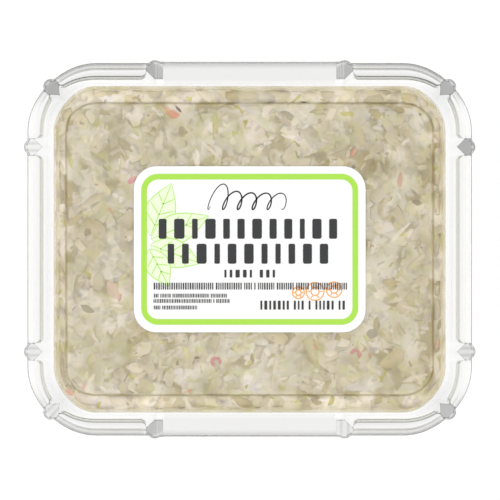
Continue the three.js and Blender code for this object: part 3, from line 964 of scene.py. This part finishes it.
# %% The room under the lid
def reach_at(x, y):
    """Reach of any point: its distance from the rectangle of the corner centres, or minus its
    depth inside it."""
    beyond_x, beyond_y = np.abs(x) - CENTRE_X, np.abs(y) - CENTRE_Y
    outside = np.hypot(np.maximum(beyond_x, 0), np.maximum(beyond_y, 0))
    return outside + np.minimum(np.maximum(beyond_x, beyond_y), 0)


def outward_y(x, y):
    """The y share of the outward direction at any point: 0 at the short sides, 1 or -1 at the
    front and back, and between them round the corners."""
    beyond_x = np.maximum(np.abs(x) - CENTRE_X, 0)
    beyond_y = np.maximum(np.abs(y) - CENTRE_Y, 0)
    away = np.hypot(beyond_x, beyond_y)
    nearer_long = (np.abs(y) - CENTRE_Y > np.abs(x) - CENTRE_X).astype(float)
    return np.where(away > 0, beyond_y / np.maximum(away, TINY), nearer_long)


def ceiling(x, y):
    """Level of the lid's underside: the panel's inside its step and the ledge's outside it."""
    panel, slope = panel_step(outward_y(x, y))
    step = np.clip((reach_at(x, y) - panel + slope * 0.8 + 0.2) / (slope * 0.8 + 0.1), 0, 1)
    return PANEL_LEVEL - FILM + (LEDGE_LEVEL - PANEL_LEVEL) * step


PRESSED = 0.05
CORE_SINK = 0.65


def on_ledge(x, y):
    """How much of the ledge a point has over it: the salad is pressed flat there."""
    return ramp(reach_at(x, y), PANEL_REACH - 0.2, PANEL_REACH + 1.0)


def dip(x, y):
    """Depth of the dressing below the lid: uneven under the panel, nothing under the ledge."""
    relief = lumps(x, y, 5.2, 1) * 0.55
    return np.maximum(CORE_SINK - relief, 0.02) * (1 - on_ledge(x, y)) - PRESSED


# %% Dressed vegetables
SHADE_BROWN = (0.33, 0.28, 0.20)
LEAF_YELLOW = (0.56, 0.53, 0.22)


def mapped(tree, value, low, high, to_low, to_high):
    """A value's way from low to high turned into one from to_low to to_high."""
    return new_node(tree, "MapRange", value, low, high, to_low, to_high).outputs["Result"]


def tint(tree, place, source, colour, scale, low, high, most):
    """Mixes a colour into a source where a noise of that scale (per metre) lies above low, up
    to most of it where it lies above high."""
    noise = new_node(tree, "TexNoise", Scale=scale, Detail=1, Distortion=0.2, Vector=place)
    share = mapped(tree, noise.outputs["Fac"], low, high, 0, most)
    mixed = new_node(tree, "MixRGB", Fac=share, Color1=source, Color2=(*colour, 1))
    return mixed.outputs["Color"]


def vegetable(name, roughness=0.4, spots=0.05, coat=0.25, depth_of_light=0.0002, mottled=1.0):
    """Moist vegetable: each piece's colour with its painted shade and light, faint veins and
    spots in it, a wet coat, and small painted brown shadows and yellow-green tints that cross
    the pieces, as far as it is mottled."""
    material, tree, shader = new_material(
        name,
        Roughness=roughness,
        Coat_Weight=coat,
        Coat_Roughness=0.25,
        Subsurface_Weight=0.4,
        Subsurface_Scale=depth_of_light,
        Subsurface_Radius=(1.0, 0.85, 0.6),
    )
    place = new_node(tree, "TexCoord").outputs["Object"]
    veins = new_node(tree, "TexNoise", Scale=300, Detail=2, Vector=place).outputs["Fac"]
    brighter = mapped(tree, veins, 0.3, 0.7, 1 - spots, 1 + spots)
    own = written_colour(tree, "colour_and_painted_light")
    scaled = new_node(tree, "VectorMath", own, operation="SCALE", Scale=brighter)
    colour = scaled.outputs["Vector"]
    colour = tint(tree, place, colour, LEAF_YELLOW, 200, 0.55, 0.65, 0.35 * mottled)
    colour = tint(tree, place, colour, SHADE_BROWN, 330, 0.6, 0.66, 0.35 * mottled)
    bump = new_node(tree, "Bump", Strength=0.1, Distance=0.0003, Height=veins)
    wire(tree, shader, Base_Color=colour, Normal=bump.outputs["Normal"])
    return material


# %% [markdown]
# ### A flake
# Going round a flake there are nine directions, each with a length of its own, so that it has
# blunt corners as a chopped leaf does. From top to bottom it has a middle point, a ring near
# the edge, the edge, a ring below and a middle point again, and its sides slope outwards, so
# that light reaches them. That is 54 triangles, few enough for thousands of flakes.

# %% Flakes in their own measure
ROUND = 9
MIDDLE, UPPER, EDGE, LOWER, UNDER = range(5)
LAYER = np.repeat([MIDDLE, UPPER, EDGE, LOWER, UNDER], [1, ROUND, ROUND, ROUND, 1])
SQUASHED = np.array([0.0, 0.02, 0.14, 0.28, 0.3])[LAYER]


def flake_forms(count, length, width, thickness, curl):
    """Points (count, 2 + 3 * ROUND, 3) of flakes lying flat: u, v along the flake and w through
    it. length, width and thickness are (low, high) in millimetres. The outline is 1 over
    (|cos|p + |sin|p) to the power 1/p, a square with rounder or sharper corners as p goes from
    4 to 1, made uneven. A crease through the middle lifts both halves, and curl bends w by
    curl x (u2 / length - v2 / width)."""
    turn = (np.arange(ROUND) + chance.uniform(-0.35, 0.35, (count, ROUND))) * 2 * np.pi / ROUND
    power = chance.uniform(1.1, 4, (count, 1))
    corner = turn + chance.uniform(0, np.pi, (count, 1))
    size = (np.abs(np.cos(corner)) ** power + np.abs(np.sin(corner)) ** power) ** (-1 / power)
    size = size * chance.uniform(0.7, 1.15, (count, ROUND))
    half_long = chance.uniform(*length, (count, 1)) / 2
    half_wide = np.minimum(chance.uniform(*width, (count, 1)) / 2, half_long)
    half_thick = chance.uniform(*thickness, (count, 1)) / 2
    u, v = np.cos(turn) * size * half_long, np.sin(turn) * size * half_wide
    zero = np.zeros((count, 1))
    middle_top = np.stack([zero, zero, half_thick], -1)
    upper = np.stack([u * 0.72, v * 0.72, half_thick * 0.85 + 0 * u], -1)
    edge = np.stack([u * 0.9, v * 0.9, half_thick * 0.4 + 0 * u], -1)
    lower = np.stack([u, v, -half_thick + 0 * u], -1)
    middle_bottom = np.stack([zero, zero, -half_thick], -1)
    form = np.concatenate([middle_top, upper, edge, lower, middle_bottom], 1)
    bend = chance.uniform(-curl, curl, (count, 1))
    crease = chance.uniform(0, np.pi, (count, 1))
    lift = np.abs(form[..., 0] * np.sin(crease) - form[..., 1] * np.cos(crease))
    form[..., 2] += bend * (form[..., 0] ** 2 / half_long - form[..., 1] ** 2 / half_wide)
    form[..., 2] += lift * chance.normal(0, 0.09, (count, 1))
    return form


def turned(form, angle, tilt_u, tilt_v):
    """Flakes turned in their own plane and tilted: w grows by tilt x distance."""
    u, v, w = form[..., 0], form[..., 1], form[..., 2]
    cos, sin = np.cos(angle)[:, None], np.sin(angle)[:, None]
    a, b = u * cos - v * sin, u * sin + v * cos
    return np.stack([a, b, w + a * tilt_u[:, None] + b * tilt_v[:, None]], -1)


def flake_faces(count):
    """Faces of all flakes: a fan, two rings of quads and a fan, moved along for each flake."""
    i = np.arange(ROUND)
    beside = (i + 1) % ROUND
    quads = np.concatenate([
        np.stack([1 + k * ROUND + i, 1 + (k + 1) * ROUND + i,
                  1 + (k + 1) * ROUND + beside, 1 + k * ROUND + beside], -1)
        for k in range(2)
    ])
    last = 1 + 3 * ROUND
    fans = np.concatenate([
        np.stack([0 * i, 1 + i, 1 + beside], -1),
        np.stack([0 * i + last, 1 + 2 * ROUND + beside, 1 + 2 * ROUND + i], -1),
    ])
    start = (np.arange(count) * (last + 1))[:, None, None]
    return [(quads + start).reshape(-1, 4), (fans + start).reshape(-1, 3)]


# %% Laying flakes under the lid, on the walls and on the base
GUIDE_REACH = 12.0
PAST_FLAT = 3.5


def spread(count):
    """Even but irregular places in a unit square: multiples of the shares 1 / p and 1 / p2,
    p3 being p + 1, each a little off."""
    k = np.arange(count) + 0.5
    jitter = chance.uniform(-0.004, 0.004, (count, 2))
    return (np.column_stack([k * 0.7548776662, k * 0.5698402910]) + jitter) % 1


def squashed(count):
    """How far into the film each point of a squashed flake reaches: its upper face to a depth
    of its own, so that no two flakes share a face, and its lower layers less."""
    return chance.uniform(0.03, 0.2, (count, 1)) - SQUASHED


def held(x, y, nearest, farthest):
    """Points moved so that their distance from the rectangle of the corner centres lies
    between two limits."""
    near_x, near_y = np.clip(x, -CENTRE_X, CENTRE_X), np.clip(y, -CENTRE_Y, CENTRE_Y)
    away = np.maximum(np.hypot(x - near_x, y - near_y), TINY)
    share = np.clip(away, nearest, farthest) / away
    return near_x + (x - near_x) * share, near_y + (y - near_y) * share


def kept_apart(x, y, spots):
    """Points of flakes on the top held on their side of the panel's step, and inside the lid's
    wall, each flake at its own distance from it."""
    out_y = outward_y(x, y)
    panel, slope = panel_step(out_y)
    wall = mouth_at(out_y) - 0.7 - 0.9 * (spots[:, 0:1] * 5.3 % 1)
    middle_panel, _ = panel_step(outward_y(spots[:, 0], spots[:, 1]))
    under_panel = (reach_at(spots[:, 0], spots[:, 1]) < middle_panel - 0.4)[:, None]
    return held(x, y, np.where(under_panel, 0, panel + 0.2),
                np.where(under_panel, panel - slope - 0.25, wall))


def on_top(form, spots, lift, extra):
    """Flakes over the top at spots (n, 2), lifted off the dressing by lift. What would stick
    through the lid is squashed flat against it, extra further into it than the rest."""
    x, y = kept_apart(form[..., 0] + spots[:, 0:1], form[..., 1] + spots[:, 1:2], spots)
    depth = dip(spots[:, 0], spots[:, 1]) - lift
    z = ceiling(spots[:, 0], spots[:, 1])[:, None] - depth[:, None] + form[..., 2]
    return np.stack([x, y, np.minimum(z, ceiling(x, y) + squashed(len(form)) + extra)], -1)


def spots_on_top(count):
    """Even places over the top, almost as far out as the mouth."""
    x, y = ((spread(count * 2) * 2 - 1) * [CENTRE_X + MOUTH_SIDES, CENTRE_Y + MOUTH_FRONT]).T
    inside = reach_at(x, y) < mouth_at(outward_y(x, y)) - 1.3
    return np.column_stack([x, y])[inside][:count]


def on_wall(form, low, high, depth):
    """Flakes round the walls: u runs along the outline, measured where its corners have the
    guide's reach, v up the wall, and w out from it, to just into the film at most."""
    half = np.array([CENTRE_X, CENTRE_Y])
    quarter = GUIDE_REACH * np.pi / 2
    lengths = np.array([2 * half[0], quarter, 2 * half[1], quarter])
    ends = np.cumsum(np.tile(lengths, 2))
    places = spread(len(form))
    along = (places[:, 0:1] * ends[-1] + form[..., 0]) % ends[-1]
    stretch = np.searchsorted(ends, along, side="right") % 8
    inside = along - np.concatenate([[0], ends])[stretch]
    side = stretch // 2
    angle = np.pi / 2 * (side - 1)
    straight = stretch % 2 == 0
    half_side = np.where(side % 2 == 0, half[0], half[1])
    shift = np.where(straight, inside - half_side, half_side)
    angle_out = angle + np.where(straight, 0, inside / GUIDE_REACH)
    middle = np.where(side % 2 == 0, half[1], half[0])
    x0 = np.cos(angle) * middle - np.sin(angle) * shift
    y0 = np.sin(angle) * middle + np.cos(angle) * shift
    level = low + places[:, 1:2] * (high - low) + form[..., 1]
    level = np.clip(level, TUB_WALL + 0.3, LEDGE_LEVEL - FILM - 0.1)
    mouth = mouth_at(np.sin(angle_out))
    into_film = 0.08 + squashed(len(form))
    reach = wall_reach(mouth, level) + np.minimum(form[..., 2] - depth[:, None], into_film)
    return np.stack([x0 + np.cos(angle_out) * reach, y0 + np.sin(angle_out) * reach, level], -1)


def on_base(form, depth):
    """Flakes on the base, pressed flat just into its film. Those that lie over its edge rise
    with the rounding: R - sqrt(R2 - over2), over being the distance past the flat."""
    reach = MOUTH_SIDES - BASE_DRAFT - BASE_ROUNDING
    spots = (spread(len(form)) * 2 - 1) * [CENTRE_X + reach, CENTRE_Y + reach + 1]
    x, y = held(form[..., 0] + spots[:, 0:1], form[..., 1] + spots[:, 1:2], 0, reach + PAST_FLAT)
    over = np.clip(reach_at(x, y) - reach, 0, PAST_FLAT)
    rise = BASE_ROUNDING - np.sqrt(BASE_ROUNDING ** 2 - over ** 2)
    pressed = np.maximum(depth[:, None] - form[..., 2], -PRESSED - squashed(len(form)))
    return np.stack([x, y, TUB_WALL + rise + pressed], -1)


# %% [markdown]
# ### Kinds of pieces
# Most flakes are pale cabbage, from cream to a warm beige. A cut leaf has a rim that is greener
# or browner than its middle, so the colour goes from the middle to one side. Some flakes are
# from the outer leaves and are olive or yellow-green, some are shreds, and a few are bits of
# white stem. Carrot is cut in short shreds, and only a few dozen of them show.

# %% Colours of pieces
PATCH_TINT = np.array([0.9, 1.0, 1.6])
SHADOW_TINT = np.array([0.8, 1.0, 1.7])
# Painted light: how much lighter the salad under the ledge is made.
PAINTED_BAND_LIGHT = np.array([0.23, 0.23, 0.29])
DRESSING = "cdc3a9"


def sheared(points):
    """Two coordinates that also change with height, so that a pattern goes down the walls."""
    return points[..., 0] + 0.8 * points[..., 2], points[..., 1] + 0.6 * points[..., 2]


def patches(points):
    """Factors of red, green and blue for broad lighter and darker patches over the whole salad.
    The dark ones are warmer than the light ones."""
    x, y = sheared(points)
    amount = 0.13 * lumps(x, y, 3.4, 5) + 0.13 * lumps(x, y, 8.0, 6)
    amount = np.where(amount < 0, 1.25, 0.75) * amount + 0.03
    return 1 + amount[..., None] * PATCH_TINT


def shaded(points):
    """1 in the clusters where the gaps between the flakes are deep and painted with brown shade,
    else 0, with a short change between."""
    x, y = sheared(points)
    return ramp(lumps(x, y, 5.0, 21) + 0.5 * lumps(x, y, 2.4, 22), 0.1, 0.5)


def deepness(x, y, z):
    """0 at the lid's underside, going to 1 more than a millimetre below it: what lies deep in
    a gap gets less light. Nothing on the walls and the base is deep in this sense."""
    below_lid = ceiling(x, y) - z
    return ramp(below_lid, 0.25, 1.1) * (below_lid < 3.0)


def linear(text):
    """A colour such as d5cbb0 as red, green and blue shares of light."""
    share = np.array([int(text[k:k + 2], 16) for k in (0, 2, 4)]) / 255
    return np.where(share <= 0.04045, share / 12.92, ((share + 0.055) / 1.055) ** 2.4)


def coloured(piece, shades, rims, spread_of_light, dressed, own_shades):
    """Gives each flake one of the shades, by number for the first ones, a little lighter or
    darker, turning to one of the rim colours towards one side of it, and to the dressing's
    colour all round. Painted shade darkens those deep below the lid and some in the shaded
    clusters, and painted light brightens those under the ledge."""
    points = len(LAYER)
    count = len(piece.data.vertices) // points
    places = np.empty(len(piece.data.vertices) * 3)
    piece.data.vertices.foreach_get("co", places)
    places = places.reshape(count, points, 3) / MM
    middle = places[:, 0]
    picked = chance.integers(0, len(shades), count)
    picked[:len(own_shades)] = own_shades
    shade = np.array([linear(text) for text in shades])[picked]
    rim = np.array([linear(text) for text in rims])[chance.integers(0, len(rims), count)]
    light = chance.uniform(1 - spread_of_light, 1 + spread_of_light, count)
    # Painted light: flakes under the ledge are brightened.
    light = light[:, None] + 0.6 * PAINTED_BAND_LIGHT * on_ledge(middle[:, 0], middle[:, 1])[:, None]
    # Painted shade: flakes deep below the lid, and some in the shaded clusters, are darkened.
    shadow = 0.2 * deepness(*middle.T) + 0.2 * shaded(middle) * chance.uniform(0, 1, count)
    side = np.cos(np.arange(ROUND) * 2 * np.pi / ROUND + chance.uniform(0, 2 * np.pi, (count, 1)))
    one = ramp(side, -0.2, 0.9) * chance.uniform(0.15, 0.95, (count, 1))
    zero = np.zeros((count, 1))
    share = np.concatenate([zero, one * 0.7, one, one, zero], 1)[..., None]
    mixed = (shade[:, None] * (1 - share) + rim[:, None] * share) * light[:, None]
    mixed = mixed * patches(places) * (1 - shadow[:, None, None] * SHADOW_TINT)
    creamed = np.array([0.0, 0.0, 0.1, 0.3, 0.0])[LAYER][:, None]
    mixed = mixed * (1 - creamed * dressed) + linear(DRESSING) * creamed * dressed
    write_colours(piece, "colour_and_painted_light", mixed.reshape(-1, 3))


# %% Chopped pieces
WALL_FLAKES = (2.0, 36.0)
THINNED = [1, 1, 0.5]


def scattered(name, counts, sizes, curl, shades, rims, material, light=0.05, lifts=(0.0, 0.4),
              dressed=1.0, places=None, extra=0.0, clustered=False):
    """One piece with all flakes of a kind: counts on the top, the walls and the base. places
    are rows of x, y, length, width, degrees and number of the shade for those on the top, else
    they are scattered. Clustered ones lie only in the clusters of painted brown shade."""
    tops, walls, bases = counts
    own_shades = []
    forms = flake_forms(sum(counts), *sizes, curl)
    tilt = chance.normal(0, 0.11, (2, sum(counts)))
    turns = chance.uniform(0, 2 * np.pi, sum(counts))
    if places is None:
        spots = spots_on_top(tops)
        if clustered:
            spots = spots[shaded(np.column_stack([spots, 0 * spots[:, 0] + PANEL_LEVEL])) > 0.3]
        tops = len(spots)
    else:
        spots = places[:, :2]
        span = np.ptp(forms[:tops], axis=1, keepdims=True)
        forms[:tops, :, :2] *= places[:, None, 2:4] / span[..., :2]
        turns[:tops] = np.radians(places[:, 4])
        own_shades = places[:, 5].astype(int)
    forms = turned(forms, turns, *tilt)
    side_depth = np.clip(chance.normal(-0.12, 0.15, walls + bases), -0.4, 0.2)
    laid = np.concatenate([
        on_top(forms[:tops], spots, chance.uniform(*lifts, tops), extra),
        on_wall(forms[-walls - bases:-bases] * THINNED, *WALL_FLAKES, side_depth[:walls]),
        on_base(forms[-bases:] * THINNED, side_depth[walls:]),
    ])
    piece = make_piece(name, laid.reshape(-1, 3), flake_faces(len(laid)), material, "coleslaw")
    coloured(piece, shades, rims, light, dressed, own_shades)
    laid_on_top.append(laid[:tops])


laid_on_top = []
cabbage = vegetable("cabbage")
CREAMS = ["d4c9b3", "cfc3aa", "c9bda1", "d0c4b1", "c6ba9a"]
RIMS = ["d4c9b3", "cbbf9f", "b9ae6c", "bcb180", "ad9c7a", "a99c7e"]
scattered("cabbage_pale", (800, 620, 340), ((6.0, 15.0), (3.5, 8.5), (0.3, 0.6)), 0.08,
          CREAMS, RIMS, cabbage, light=0.1, lifts=(0.0, 0.5))
scattered("cabbage_shreds", (220, 120, 60), ((7.0, 14.0), (1.8, 3.4), (0.3, 0.6)), 0.12,
          ["d6cbb6", "d0c4aa", "c9bc9a"], RIMS, cabbage, lifts=(0.1, 0.6))
scattered("cabbage_green", (260, 160, 90), ((3.0, 8.0), (1.2, 3.0), (0.2, 0.4)), 0.2,
          ["bfb670", "b9af66", "c3ba81", "b4a964", "b7a67c", "af9f75"],
          ["b3a757", "bdaf77", "a7975a"], cabbage, lifts=(0.1, 0.55), dressed=0.8)
scattered("stem_bits", (200, 100, 60), ((3.0, 7.0), (2.0, 4.4), (0.3, 0.6)), 0.1,
          ["d6cbbd", "d1c5b4", "cfc3b1"], ["d5cab7", "bfb39a"], cabbage, lifts=(0.1, 0.55))
# Browned bits and painted shade: these small dark bits lie only in the shaded clusters.
scattered("browned_and_shade_bits", (420, 60, 30), ((2.6, 5.6), (1.5, 3.2), (0.15, 0.3)), 0.1,
          ["aea184", "b4a78b", "a89a7c", "ae9e78"], ["ab9e80", "9f9274"], cabbage,
          lifts=(0.15, 0.55), dressed=0.4, clustered=True)

# %% [markdown]
# ### Carrot
# The carrot shreds are short and thick. Only two dozen lie on top, pink and orange under the
# dressing, and the eye goes to them at once, so they are laid one by one: a large one with a
# thin tail at the back left, a curled one at the front, and some single ones. The few dark bits
# of leaf that lie beside them are laid one by one too.

# %% Carrot shreds
CARROTS = np.array([
    (-26.0, 45.6, 5.2, 3.4, -10, 0),
    (-27.4, 46.5, 4.0, 2.4, -55, 0),
    (-28.9, 47.9, 4.0, 1.3, -48, 2),
    (35.1, 32.7, 4.4, 1.9, 60, 2),
    (33.4, 28.7, 3.2, 1.6, 75, 3),
    (-39.6, 23.3, 4.2, 2.2, 40, 1),
    (-47.0, 13.2, 3.8, 1.5, -50, 3),
    (-46.0, -14.0, 8.6, 4.4, -68, 4),
    (-43.6, -16.2, 3.4, 1.3, 75, 2),
    (50.6, 23.6, 5.6, 2.0, 86, 3),
    (-61.1, -48.3, 3.8, 2.4, -15, 2),
    (-55.7, -46.0, 3.6, 1.5, 60, 3),
    (-10.1, -37.7, 2.4, 1.8, 80, 1),
    (-10.7, -36.8, 2.4, 1.8, 140, 1),
    (-11.9, -36.8, 2.4, 1.8, 20, 1),
    (-12.6, -37.8, 2.4, 1.8, 80, 1),
    (-12.2, -38.8, 2.4, 1.7, -45, 1),
    (-20.1, -47.7, 3.0, 1.6, 35, 2),
    (22.3, -32.9, 3.4, 1.6, -60, 2),
    (34.7, -34.6, 2.4, 1.7, 60, 1),
    (35.9, -34.0, 2.4, 1.7, 0, 1),
    (36.8, -35.2, 2.8, 1.7, -70, 1),
    (40.5, -35.6, 2.8, 1.6, 80, 3),
    (63.2, -32.2, 3.8, 1.8, 80, 3),
])
carrot = vegetable("carrot", roughness=0.38, mottled=0.5)
scattered("carrot_shreds", (len(CARROTS), 18, 10), ((3.0, 5.5), (0.9, 1.5), (0.3, 0.5)), 0.12,
          ["d59776", "c98d88", "cb9a82", "c6a388", "cbb49c"], ["d0ad90", "cab093"], carrot,
          lifts=(1.0, 1.2), dressed=0.9, places=CARROTS, extra=0.1)

# %% Dark bits
DARK_BITS = np.array([
    (-23.9, 47.1, 3.6, 1.2, -50, 0),
    (-17.9, -36.5, 2.2, 1.1, -10, 2),
    (-24.4, -38.3, 1.9, 1.2, 70, 2),
    (35.0, 27.8, 2.0, 1.4, 50, 1),
    (57.4, 45.4, 1.3, 1.1, 0, 2),
])
scattered("dark_bits", (len(DARK_BITS), 6, 4), ((1.0, 2.4), (0.7, 1.2), (0.2, 0.3)), 0.1,
          ["776656", "80705e", "918a66"], ["8d9c70", "948a6c"], cabbage, lifts=(1.0, 1.2),
          dressed=0.6, places=DARK_BITS, extra=0.1)

# %% [markdown]
# ### Browned leaves
# A cut leaf goes brown where it dries. Most of the browned bits are small and lie in clusters
# down in the gaps, and there they are painted shade as well: dark bits that darken the gaps of
# the shaded clusters. A few are whole strips of leaf right under the lid, and these stand out,
# so they are laid one by one as well, a little lower than the carrot.

# %% Browned leaves
BROWNED = np.array([
    (-56.2, 42.3, 5.4, 2.6, 100, 0),
    (-49.0, 46.0, 4.6, 2.0, -20, 1),
    (-42.1, 35.4, 9.4, 3.0, -43, 1),
    (-22.1, 39.1, 7.0, 3.4, -60, 1),
    (-11.4, 41.6, 12.0, 2.6, 86, 2),
    (12.5, 45.2, 6.4, 3.2, -20, 0),
    (16.4, 35.8, 11.0, 2.2, 88, 1),
    (41.8, 46.2, 4.4, 3.0, 10, 1),
    (50.2, 46.9, 4.4, 2.4, -15, 1),
    (58.0, 4.1, 4.8, 3.4, 60, 0),
    (41.8, -12.0, 8.4, 5.0, -40, 3),
    (42.8, -25.5, 8.0, 3.0, 85, 1),
    (41.2, -28.5, 5.4, 4.0, 30, 0),
    (56.3, -31.5, 4.4, 1.8, 75, 0),
    (-54.7, -20.1, 7.0, 2.6, -30, 0),
    (-24.6, -45.0, 6.4, 3.2, -50, 1),
])
scattered("browned_leaves", (len(BROWNED), 8, 6), ((4.0, 9.0), (2.0, 4.0), (0.2, 0.4)), 0.1,
          ["a1967a", "ad9f79", "b3aa74", "aaa48c"], ["a89c7c", "b5a988"], cabbage,
          lifts=(0.8, 1.0), dressed=0.9, places=BROWNED)

# %% [markdown]
# ### Dressing
# The dressing fills the room between the flakes almost to their tops, so that they come out of
# it softly and leave no dark gaps. Its surface follows them: their highest points on a grid of
# small squares, spread to the squares beside, smoothed, and lowered a little.

# %% Dressing between the flakes
CELL = 0.8
DRESSING_BELOW, DEEPER_IN_SHADE = 0.09, 0.22
GRID_X, GRID_Y = 172, 146


def neighbours(grid):
    """The grid itself and its eight copies moved by one square."""
    return np.stack([np.roll(grid, (i, j), (0, 1)) for i in (-1, 0, 1) for j in (-1, 0, 1)])


def heights_of(flakes):
    """Height over the salad's highest level, on a grid of squares: the highest of many places
    on each flake's upper face, which is a fan of triangles round its middle."""
    steps = [(i / 5, j / 5) for i in range(6) for j in range(6 - i)]
    middle, ring = flakes[:, :1], flakes[:, 1:1 + ROUND]
    beside = np.roll(ring, -1, 1)
    places = [middle * (1 - i - j) + ring * i + beside * j for i, j in steps]
    x, y, z = np.concatenate(places, 1).reshape(-1, 3).T
    column = np.clip(np.round(x / CELL).astype(int) + GRID_X // 2, 0, GRID_X - 1)
    row = np.clip(np.round(y / CELL).astype(int) + GRID_Y // 2, 0, GRID_Y - 1)
    grid = np.full((GRID_X, GRID_Y), -1.5)
    np.maximum.at(grid, (column, row), z - ceiling(x, y))
    grid = neighbours(grid).max(0)
    return neighbours(neighbours(grid).mean(0)).mean(0)


def read_grid(grid, x, y):
    """The grid's value at any place, in straight lines between the squares' middles."""
    u = np.clip(x / CELL + GRID_X // 2, 0, GRID_X - 1.001)
    v = np.clip(y / CELL + GRID_Y // 2, 0, GRID_Y - 1.001)
    i, j = u.astype(int), v.astype(int)
    return joined_squares(grid, i, j, u - i, v - j)


def salad_core(heights):
    """The core: rings from the base's middle out, up the walls just inside the film, and back
    over the top."""
    rows = plain_stations(28, 1.3)
    into = below(wall_profiles(rows, steps=20), PRESSED)
    mouth = mouth_at(rows[:, OUT_Y])
    brim = profile_of([
        (mouth + 0.05, LIP_TOP - 0.3),
        (mouth - 0.26, LIP_TOP + 0.1),
        (mouth - 0.45, LEDGE_LEVEL + 0.2),
        (mouth - 0.6, LEDGE_LEVEL - FILM + 0.15),
    ], len(rows))
    sides = carried(rows, np.concatenate([into, brim], 1))
    panel, slope = panel_step(rows[:, OUT_Y])
    reaches = [panel + 0.3 + (mouth - 1.2 - panel - 0.3) * share for share in np.linspace(1, 0, 7)]
    reaches += [panel + 0.2 - (slope + 0.4) * share for share in np.linspace(0, 1, 12)]
    reaches += [(panel - slope - 0.3) * share for share in np.linspace(1, 0.1, 15)]
    by_reach = carried(rows, profile_of([(reach, LEDGE_LEVEL) for reach in reaches], len(rows)))
    shares = np.linspace(1.0, 0.0, 72)[1:-1]
    top = np.concatenate([by_reach, by_reach[-1] * shares[:, None, None]])
    x, y = top[..., 0], top[..., 1]
    reach = reach_at(x, y)
    below_lid = read_grid(heights, x, y) - DRESSING_BELOW - DEEPER_IN_SHADE * shaded(top)
    pressed = np.maximum(ramp(reach, MOUTH_SIDES - 2.2, MOUTH_SIDES - 1.2),
                         ramp(reach, PANEL_REACH - 2.4, PANEL_REACH - 1.4)
                         * (1 - ramp(reach, PANEL_REACH + 0.3, PANEL_REACH + 0.9)))
    below_lid = below_lid * (1 - pressed) + 0.03 * pressed
    top[..., 2] = ceiling(x, y) + np.clip(below_lid, -1.4, 0.1)
    return loft(np.concatenate([sides, top]))


def dressing_colours(points):
    """Cream with soft patches of beige, olive and lighter cream, a few millimetres wide, as the
    dressing takes the tone of what lies under it. It is darkened with painted brown shade in
    the shaded clusters and deep below the lid, and lightened with painted light on the ledge
    band and at the brim by the mouth."""
    x, y = sheared(points)
    wide = lumps(x, y, 3.4, 11) + 0.5 * lumps(x, y, 6.0, 12)
    # The last share is painted shade: dark brown in the clusters where the gaps are deep.
    shares = [("b3a680", ramp(wide, 0.1, 0.8) * 0.6), ("d2c6ad", ramp(-wide, 0.2, 0.9) * 0.9),
              ("b0a668", ramp(lumps(x, y, 2.6, 14), 0.3, 0.8) * 0.5),
              ("a39362", shaded(points) * 0.85)]
    colours = np.repeat(linear(DRESSING)[None], len(x), 0)
    plain = 1 - 0.5 * on_ledge(points[:, 0], points[:, 1])
    for text, share in shares:
        share = share * plain
        colours = colours * (1 - share[:, None]) + linear(text) * share[:, None]
    # Painted shade: the dressing is darker deep below the lid.
    deep = deepness(*points.T)[:, None] * 0.5
    colours = colours * (1 - deep) + linear("95865c") * deep
    # Painted light: the brim by the mouth, shaded between the two walls, is a lighter cream.
    past = reach_at(*points[:, :2].T) - mouth_at(outward_y(*points[:, :2].T))
    brim = (ramp(past, -0.9, -0.6) * (points[:, 2] > LIP_TOP - 2.5))[:, None]
    colours = colours * (1 - brim) + linear("d8cfb8") * brim
    # Painted light: the ledge band is brightened, but not the brim.
    light = 1 + PAINTED_BAND_LIGHT * on_ledge(points[:, 0], points[:, 1])[:, None] * (1 - brim)
    return colours * light * patches(points)


core_points, core_faces = salad_core(heights_of(np.concatenate(laid_on_top)))
dressing = vegetable("dressing", coat=0.4, depth_of_light=0.001)
core = make_piece("salad_core", core_points, core_faces, dressing, "coleslaw", ["coleslaw"])
write_colours(core, "colour_and_painted_light", dressing_colours(core_points))
